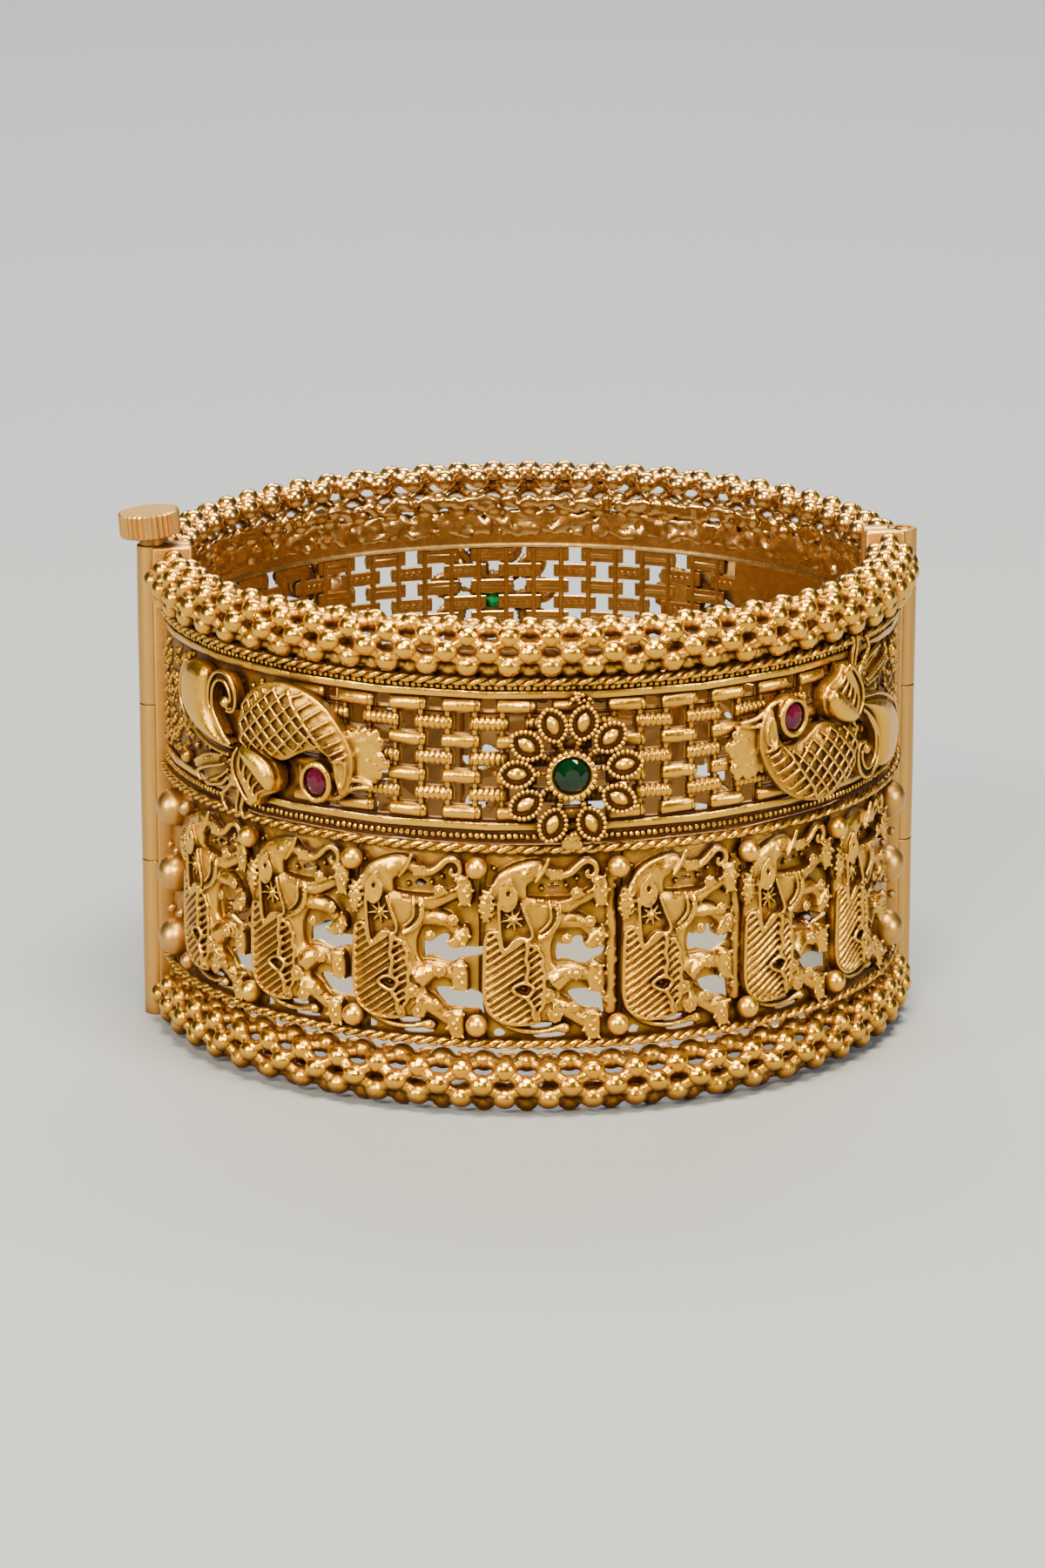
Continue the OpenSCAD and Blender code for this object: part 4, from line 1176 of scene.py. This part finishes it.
TAIL_LEAF = [(-7.2, -1.35), (-10.0, -1.15), (-12.6, -0.5), (-14.6, 0.6), (-15.4, 2.2), (-15.1, 3.8),
             (-14.1, 5.0), (-13.0, 5.35), (-11.6, 5.3), (-10.6, 4.7), (-10.5, 3.3), (-10.4, 2.0),
             (-9.8, 0.7), (-8.8, -0.2), (-7.2, -0.95)]
BEAK_UP = [(5.7, -3.1, 1.4), (6.25, -2.1, 1.2), (7.3, -1.75, 1.1), (8.7, -2.05, 0.8)]
BEAK_LOW = [(3.25, -3.75, 1.2), (4.5, -3.6, 1.2), (5.5, -3.35, 1.3), (6.6, -2.6, 1.1), (7.5, -2.35, 1.0),
            (8.75, -2.25, 0.8)]
SOLDER = [(5.9, 0.7), (6.3, 1.9), (7.0, 2.75), (7.7, 2.3), (8.9, 2.7), (8.75, 1.6), (9.5, 1.1),
          (8.95, 0.3), (9.6, -0.6), (8.75, -1.1), (8.9, -2.0), (7.6, -1.9), (6.9, -2.3), (5.8, -1.9)]
RUBY_AT = (3.52, -2.2)
RUBY_HALF = (1.0, 1.2)
PLUMES = [[(-7.2, -3.1, 0.8), (-7.4, -4.1, 1.0), (-8.2, -4.95, 1.0), (-8.95, -5.6, 1.0),
           (-8.75, -6.4, 0.9), (-8.2, -6.9, 0.7)],
          [(-8.6, -2.9, 0.8), (-9.85, -3.25, 1.0), (-11.8, -3.8, 1.0), (-13.2, -4.45, 1.0),
           (-12.7, -5.2, 0.7)]]
PLUME_GRAINS = [[(-6.3, -4.0), (-6.16, -4.9), (-6.25, -5.7), (-6.5, -6.4), (-6.2, -7.1)],
                [(-8.3, -4.0), (-9.3, -4.75), (-10.6, -5.1), (-11.75, -5.3)]]
SPRAY = [(-9.2, -2.3), (-11.6, -2.6), (-14.6, -3.9), (-13.4, -4.5), (-11.2, -4.1), (-9.4, -3.4)]
NET_STEP = 1.0


def flat(points):
    """Lengths along the bird, brought from its own radius to the mandrel's."""
    k = MANDREL / BIRD_RING
    return [(p[0] * k, *p[1:]) for p in points]


# %% Peacock: one casting
def bird_body_parts():
    """The swelling back with its net of wires, a ladder of bars along the neck and the cheek."""
    body, back = cushion(flat(BIRD_BODY), 0.3, 1.4, 2.3, 0.78, voxel=0.13)
    parts = [body, strand(flat(BIRD_BODY), 0.2, above(back, 0.12), closed=True)]
    net = [p[:2] for p in smoothed(flat(BIRD_NET))]
    for way_angle in (44, -48):
        way = (math.cos(math.radians(way_angle)), math.sin(math.radians(way_angle)))
        for i in range(-9, 10):
            at = (-0.8 - way[1] * NET_STEP * i, 2.3 + way[0] * NET_STEP * i)
            for a, b in spans(net, at, way):
                parts.append(strand(between(a, b, 8), 0.125, above(back, 0.3), steps=1))
    for line in BIRD_BARS:
        parts.append(strand(between(*flat(line), 4), 0.15, above(back, 0.3)))
    parts += [strand(flat(BIRD_NET_EDGE), 0.16, above(back, 0.27)),
              strand(flat(BIRD_CHEEK), 0.14, above(back, 0.2), closed=True)]
    return parts


def bird_wing_parts():
    parts = [cushion(flat(BIRD_WING), 0.3, 1.45, 0.7, 0.15)[0],
             cushion(flat(WING_LEAF), 1.5, 2.0, 1.0, 0.6, voxel=0.12)[0]]
    parts += [strand(flat(rib), 0.16, 1.85, around=2) for rib in WING_RIBS]
    return parts


def bird_tail_parts():
    """A broad leaf edged with a wire, and beside it a scroll that ends in a ball."""
    scroll = flat(SCROLL_OUT[:-1] + SCROLL_IN[::-1])
    return [cushion(flat(TAIL_LEAF), 0.1, 0.85, 1.5, 0.85)[0],
            strand(flat(TAIL_WIRE), 0.2, 1.15),
            slab(flat([*TAIL_WIRE[2:], *TAIL_LEAF[1:5]]), 0.1, 0.75, 0.05),
            slab(scroll, 0.3, 1.1, 0.05),
            strand(flat(SCROLL_OUT), 0.19, 1.4),
            strand(flat(SCROLL_IN), 0.17, 1.4),
            *granules(flat([SCROLL_BEAD]), 0.52, 1.3)]


def bird_ground_parts():
    """The lumpy solder plate and beak before the breast, and the plumes and comb below the wing."""
    plate_line = flat(SOLDER)
    lumps, height = cushion(plate_line, -0.3, 0.75, 0.5, 0.35)
    parts = [lumps, strand(flat(BEAK_UP), 0.2, 1.25), strand(flat(BEAK_LOW), 0.2, 1.25)]
    rng = random.Random(17)
    for i in range(46):
        x, z = rng.uniform(5.6, 9.2), rng.uniform(-2.1, 2.5)
        if edge_distance([p[:2] for p in plate_line], x, z) > -0.25:
            lump = ball(rng.uniform(0.25, 0.5), segments=10, rings=6)
            parts.append(moved(lump, x, -0.95, z, size=(1, 0.5, 1)))
    for plume, grains in zip(PLUMES, PLUME_GRAINS):
        line = flat(plume)
        parts.append(strand(line, 0.2, 0.75))
        edge = smoothed(flat(grains), False, 5)
        parts += granules(edge, 0.22, 0.55)
        spine = between(line[0][:2], line[-1][:2], len(edge))
        inner = [tuple((p + q) / 2 for p, q in zip(a, b)) for a, b in zip(spine, edge)]
        parts += granules(inner, 0.19, 0.5)
        parts.append(slab([p[:2] for p in line] + flat(grains)[::-1], -0.15, 0.25, 0.05))
    for i in range(7):
        z = -1.7 - 0.45 * i
        parts.append(strand(flat([(-6.3, z), (-7.6 - 0.1 * i, z - 0.25)]), 0.16, 0.65))
    parts.append(slab(flat(SPRAY), -0.1, 0.35, 0.15))
    for i in range(9):
        x = -9.7 - 0.5 * i
        parts.append(strand(flat([(x, -2.5 - 0.14 * i), (x - 0.55, -3.4 - 0.12 * i)]), 0.14, 0.45))
    parts.append(strand(flat([SPRAY[0], (-12.0, -2.75), (-14.4, -3.9)]), 0.17, 0.5))
    parts += granules(flat([(-16.4, -3.9)]), 0.62, 0.35)
    parts += granules(flat([(-14.6, -2.6), (-16.2, -1.9), (-15.3, -1.0)]), 0.3, 0.1)
    return parts


def peacock_parts():
    return (bird_body_parts() + bird_wing_parts() + bird_tail_parts() + bird_ground_parts()
            + bezel_parts(flat([RUBY_AT])[0], RUBY_HALF, 2.2))


def bezel_parts(at, half, top):
    """A thick rubbed-over rim round a stone, open in front."""
    inner, outer = half[0] + 0.05, half[0] + 0.5
    profile = [(-0.3, 0), (-0.3, outer - 0.08), (-top + 0.2, outer), (-top + 0.03, outer - 0.12),
               (-top, outer - 0.25), (-top + 0.05, inner + 0.03), (-top + 0.3, inner), (-top + 1.2, inner),
               (-top + 1.2, 0)]
    rim_ring = turned(profile, 32, "Y")
    return [moved(rim_ring, at[0], 0, at[1], size=(1, 1, half[1] / half[0]))]


PEACOCK_FACES = {"front": 36000, "back": 15000}
BIRDS = {"left": (-43.5, 30.0, 0.0), "right": (40.3, 30.4, 180.0)}


def bird_matrix(half, side):
    angle, z, turn = BIRDS[side]
    return place_matrix(half, angle) @ shift(0, 0, z) @ spin(turn, "Y")


mould = fused(peacock_parts(), 0.095, MOULD_FACES)
for half in BODY:
    model = thinned(copy_at(mould, Matrix()), PEACOCK_FACES[half])
    model = rolled(mark_patina_shade(model, spread=0.42, depth=0.22, most=0.95))
    for side in BIRDS:
        twin = copy_at(model, bird_matrix(half, side))
        set_gold(twin, half, f"{side}_bird", f"{side}_peacock", CAST, 50.0)
    discard(model)
discard(mould)

# %% [markdown]
# The flower is built on its own and soldered to the band: ten pointed petals edged with beaded wire,
# each with a polished lozenge, and a stone in a granulated seat. Beaded wire is wire rolled
# between grooved blades; here it is a row of small balls on a plain wire.

# %% Flower
FLOWER_AT = (-0.1, 29.5)  # angle along the half, height
PETAL_TURNS = [10, 44, 77, 110, 145, 178, 213, 250, 292, 332]
PETAL_RING = 4.5
PETAL_HALF, LOZENGE_HALF = (1.45, 1.1), (1.04, 0.68)
SEAT_GRAINS, SEAT_RING = 24, 1.92


def marquise(half_l, half_w, count):
    """Places along a pointed oval, evenly spaced, and its corner-to-corner line along x."""
    r = (half_l ** 2 + half_w ** 2) / (2 * half_w)
    reach = math.asin(half_l / r)
    upper = [(r * math.sin(a), r * math.cos(a) - (r - half_w))
             for a in (reach * (2 * i / count - 1) for i in range(count))]
    return upper + [(-x, -z) for x, z in upper]


def petal():
    loop = marquise(*PETAL_HALF, 10)
    parts = [plate(marquise(*PETAL_HALF, 8), 0.3, 0.04, depth=-0.75),
             wire([(x, -0.92, z, 1.0) for x, z in loop], 0.12, closed=True)]
    parts += copies_at(ball(0.215, segments=8, rings=5), [shift(x, -1.2, z) for x, z in loop])
    parts.append(plate(marquise(*LOZENGE_HALF, 4), 1.2, 0.55, depth=-0.8))
    return joined(parts)


def flower():
    one = petal()
    parts = []
    for turn in PETAL_TURNS:
        t = math.radians(turn)
        parts.append(copy_at(one, Matrix.Rotation(-t, 4, "Y") @ shift(PETAL_RING, 0, 0)))
        parts.append(moved(ball(0.3, segments=12, rings=8), 2.75 * math.cos(t), -0.95, 2.75 * math.sin(t)))
        parts.append(wire([(r * math.cos(t), -0.8, r * math.sin(t), 1.0) for r in (1.9, 3.2)], 0.2))
    discard(one)
    seat = [(-0.6, 1.3), (-0.6, 1.95), (-1.3, 2.0), (-1.62, 1.85), (-1.68, 1.7), (-1.55, 1.56), (-1.2, 1.55),
            (-0.9, 1.5), (-0.9, 1.3), (-0.6, 1.3)]
    parts.append(turned(seat, 48, "Y"))
    for i in range(SEAT_GRAINS):
        t = 2 * math.pi * i / SEAT_GRAINS
        grain = ball(0.27, segments=10, rings=6)
        parts.append(moved(grain, SEAT_RING * math.cos(t), -1.5, SEAT_RING * math.sin(t)))
    rng = random.Random(7)
    for i in range(9):
        x, z = 0.35 + rng.uniform(-0.7, 0.7), -5.75 + rng.uniform(-0.4, 0.4)
        parts.append(moved(ball(0.55, segments=12, rings=8), x, -0.45, z, size=(1, 0.7, 1)))
    for i in range(16):
        grain = ball(rng.uniform(0.13, 0.26), segments=8, rings=6)
        parts.append(moved(grain, 0.9 + rng.uniform(-1.2, 1.2), -0.75, 6.2 + rng.uniform(-0.6, 0.6)))
    return joined(parts)


model = mark_patina_shade(flower(), spread=0.2, depth=0.2, most=0.9)
seat = on_ring(FLOWER_AT[0], MANDREL, FLOWER_AT[1])
set_halves(model, "flower_head", "flower", BEADED_WIRE, 50.0, seat)

# %% [markdown]
# The stones are brilliants: a flat table, a ring of crown facets, a thin girdle and a pavilion below.
# A convex hull over a few rings of points gives the facets, which stay flat shaded.

# %% Stones
def brilliant(half_w, half_h):
    rings = [(0.45, 0.0, 8, 0.42), (0.76, 0.5, 8, 0.27), (0.99, 0.25, 16, 0.05), (1.0, 0.25, 16, -0.02),
             (0.6, 0.0, 8, -0.35), (0.05, 0.0, 4, -0.55)]
    points = []
    for r, turn, count, up in rings:
        for i in range(count):
            a = 2 * math.pi * (i + turn) / count
            points.append((half_w * r * math.cos(a), -half_w * up, half_h * r * math.sin(a)))
    return in_edit_mode(from_points("brilliant", points), bpy.ops.mesh.convex_hull)


GREEN_HALF = (1.52, 1.52)
green_seat = on_ring(FLOWER_AT[0], 33.4, FLOWER_AT[1])
red_seat = on_ring(math.degrees(RUBY_AT[0] / BIRD_RING), 33.85, RUBY_AT[1])
green, red = brilliant(*GREEN_HALF), brilliant(*RUBY_HALF)
for half in BODY:
    stone = copy_at(green, place_matrix(half) @ green_seat)
    finished(stone, f"{half}_green_stone", BODY[half], EMERALD, [f"{half}_emerald"], 1.0)
    for side in BIRDS:
        stone = copy_at(red, bird_matrix(half, side) @ red_seat)
        finished(stone, f"{half}_{side}_red_stone", BODY[half], RUBY,
                 [f"{half}_{side}_ruby"], 1.0)
discard(green, red)

# %% [markdown]
# A half ends in a plain satin plate with its knuckles, and a panel with three large balls. The
# plate is a block with rounded edges; room for the other half's knuckles is cut out of it.

# %% Joint ends
PIN_RING = 33.0
KNUCKLE_R = 1.25
END_H = 42.3
KNUCKLE_H = END_H / 3
END_IN = 29.5
END_T = 1.4
KNUCKLE_GAP = 0.03
ROOM = 0.12  # left round the other half's knuckles
BIG_R, BIG_RING = 1.68, 32.0
SMALL_RING = 32.45
BIG_BALLS = {-1: -79.8, 1: 70.2}
BIG_HEIGHTS = {-1: (8.5, 14.3, 20.2), 1: (8.9, 14.75, 20.65)}
PANEL_EDGE = {-1: -72.5, 1: 66.5}
SMALL_BALLS = {-1: [(-71.3, 21.4, 0.72), (-71.3, 7.7, 0.75), (-79.5, 11.2, 0.44), (-74.4, 11.5, 0.44),
                    (-79.8, 16.9, 0.34), (-76.4, 16.8, 0.32)],
               1: [(70.0, 17.75, 0.38), (71.0, 11.9, 0.38), (64.5, 12.9, 0.4), (63.8, 7.9, 0.5),
                   (64.2, 17.6, 0.32), (65.4, 16.3, 0.28), (64.4, 15.2, 0.32), (65.8, 14.0, 0.26),
                   (65.2, 11.6, 0.3)]}


def knuckle(end, level):
    low = level * KNUCKLE_H + (KNUCKLE_GAP if level else 0.0)
    high = (level + 1) * KNUCKLE_H - (KNUCKLE_GAP if level < 2 else 0.0)
    r = KNUCKLE_R
    profile = [(low, 0.76), (low, r - 0.05), (low + 0.05, r), ((low + high) / 2, r + 0.03), (high - 0.05, r),
               (high, r - 0.05), (high, 0.76), (low, 0.76)]
    tube = turned(profile, 32, "Z")
    tube.location.x = end * PIN_RING
    return joined([tube])


def joint_end(end, own, other):
    face = block((PIN_RING - END_IN, END_T, END_H), 0.3, 3)
    face.location = (end * (PIN_RING + END_IN) / 2, -0.05 - END_T / 2, END_H / 2)
    for level in other:
        bpy.ops.mesh.primitive_cylinder_add(vertices=32, radius=KNUCKLE_R + ROOM, depth=KNUCKLE_H + ROOM,
                                            location=(end * PIN_RING, 0, (level + 0.5) * KNUCKLE_H))
        cut_away(face, bpy.context.active_object)
    parts = [face] + [knuckle(end, level) for level in own]
    big_places = [on_ring(BIG_BALLS[end], BIG_RING, z) for z in BIG_HEIGHTS[end]]
    parts += copies_at(ball(BIG_R, segments=32, rings=20), big_places)
    for angle, z, r in SMALL_BALLS[end]:
        parts += copies_at(ball(r, segments=20, rings=12), [on_ring(angle, SMALL_RING, z)])
    start, stop = sorted((PANEL_EDGE[end], end * 88.0))
    parts.append(curved_sheet(start, stop, 5.4, 23.2, -0.68, -0.38))
    return joined(parts)


ENDS = [("front", "screw_end", -1, (0, 2), (1,)), ("front", "hinge_end", 1, (0, 2), (1,)),
        ("back", "screw_end", 1, (1,), (0, 2)), ("back", "hinge_end", -1, (1,), (0, 2))]
for half, joint, end, own, other in ENDS:
    made = placed(joint_end(end, own, other), place_matrix(half))
    set_gold(made, half, f"{joint}_plate", joint, SATIN, 35.0)

# %% [markdown]
# The screw has a ridged knob to grip, which leans a little, as it does on the real bracelet. Its
# shank ends in the upper knuckle. The hinge pin runs through all three knuckles at the other joint.

# %% Screw and pin
KNOB_R = 2.65
KNOB_H = 2.1
KNOB_Z = 43.2
RIDGES, RIDGE_DEEP = 32, 0.16
KNOB_LEAN = -5.0  # degrees


def knob():
    count = RIDGES * 6
    levels = [(0.0, 0.3, 0.0), (0.0, 0.12, 1.0), (0.12, 0.0, 1.0),
              (KNOB_H - 0.12, 0.0, 1.0), (KNOB_H, 0.1, 1.0), (KNOB_H, 0.3, 0.0)]
    verts, faces = [], []
    for up, inset, ridged in levels:
        for i in range(count):
            a = 2 * math.pi * i / count
            r = KNOB_R - inset - ridged * RIDGE_DEEP * (0.5 - 0.5 * math.cos(RIDGES * a))
            verts.append((r * math.cos(a), r * math.sin(a), up))
    for k in range(len(levels) - 1):
        for i in range(count):
            j = (i + 1) % count
            faces.append((k * count + i, k * count + j, (k + 1) * count + j, (k + 1) * count + i))
    faces.append(tuple(reversed(range(count))))
    faces.append(tuple(range((len(levels) - 1) * count, len(levels) * count)))
    return from_points("knob", verts, faces=faces)


to_joints = Matrix.Scale(MM, 4) @ spin(JOINT_TURN, "Z")
head = knob()
head.matrix_world = shift(0, 0, KNOB_Z) @ spin(KNOB_LEAN, "Y")
foot = 2 * KNUCKLE_H + 0.3  # the shank ends inside the upper knuckle
shank = turned([(foot, 0), (foot, 0.55), (foot + 0.2, 0.69), (END_H + 0.06, 0.69), (END_H + 0.06, 1.05),
                (KNOB_Z + 0.3, 1.05), (KNOB_Z + 0.3, 0)], 32, "Z")
made = joined([head, shank])
made.matrix_world = to_joints @ shift(-PIN_RING, 0, 0)
finished(made, "screw_knob", "screw", SATIN, ["screw"], 30.0)
pin = turned([(0.1, 0), (0.1, 0.55), (0.25, 0.69), (END_H - 0.25, 0.69), (END_H - 0.1, 0.5),
              (END_H - 0.08, 0)], 32, "Z")
pin.matrix_world = to_joints @ shift(PIN_RING, 0, 0)
finished(pin, "hinge_rivet", "front_half", SATIN, ["hinge_pin"], 40.0)

# %% [markdown]
# The floor is a plain pale sweep. Two warm lamps above and before the bracelet give the metal its bright
# spots, a wide one lights the sweep behind it, and two at the sides draw its edges. The paper
# is a little blue, so that it looks neutral in the warm light.

# %% Floor and light
PAPER = (0.2, 0.216, 0.238)
SWEEP_HALF = 4.0  # metres from the middle to the floor's sides and near edge
SWEEP_AT, SWEEP_R = 1.2, 0.8  # where it starts to curve up, and how widely
LIGHTS = [("overhead", (0.05, -0.2, 0.7), (0, 0, 0.02), (0.3, 0.25), 18.0, (1.0, 0.89, 0.66)),
          ("key", (-0.2, -0.75, 0.5), (0, 0, 0.02), (0.16, 0.12), 13.0, (1.0, 0.78, 0.42)),
          ("behind", (0.0, 0.75, 0.8), (0, 0.5, 0.0), (0.9, 0.4), 22.0, (1, 1, 1)),
          ("left", (-0.65, -0.45, 0.35), (0, 0, 0.02), (0.2, 0.4), 8.5, (1, 1, 1)),
          ("right", (0.65, -0.45, 0.35), (0, 0, 0.02), (0.2, 0.4), 6.5, (1, 1, 1))]


def sweep_floor():
    """A pale sheet that lies under the piece and curves up far behind it."""
    profile = [(-SWEEP_HALF, 0.0), (SWEEP_AT, 0.0)]
    for degrees in range(10, 91, 10):
        a = math.radians(degrees)
        profile.append((SWEEP_AT + SWEEP_R * math.sin(a), SWEEP_R - SWEEP_R * math.cos(a)))
    profile.append((2.0, 3.0))
    vertices = [(side * SWEEP_HALF, y, z) for y, z in profile for side in (-1, 1)]
    faces = [(2 * i, 2 * i + 1, 2 * i + 3, 2 * i + 2) for i in range(len(profile) - 1)]
    floor = from_points("floor", vertices, faces=faces)
    only(floor)
    bpy.ops.object.shade_smooth()
    floor.location.z = -0.00003
    material, tree, shader = new_material("floor_paper")
    feed(tree, shader["Base Color"], PAPER)
    feed(tree, shader["Roughness"], 0.85)
    floor.data.materials.append(material)
    return floor


def soft_box(name, at, target, size, power, colour):
    data = bpy.data.lights.new(name, "AREA")
    data.shape = "RECTANGLE"
    data.size, data.size_y = size
    data.energy = power
    data.color = colour
    light = bpy.data.objects.new(name, data)
    light.location = at
    light.rotation_euler = (Vector(target) - Vector(at)).to_track_quat("-Z", "Y").to_euler()
    bpy.context.scene.collection.objects.link(light)


sweep_floor()
for light in LIGHTS:
    soft_box(*light)
world = bpy.data.worlds.new("room")
bpy.context.scene.world = world
world.use_nodes = True
room = world.node_tree.nodes["Background"].inputs
room["Color"].default_value = (0.95, 0.97, 1.0, 1)
room["Strength"].default_value = 0.1
print("lights", [light[0] for light in LIGHTS])
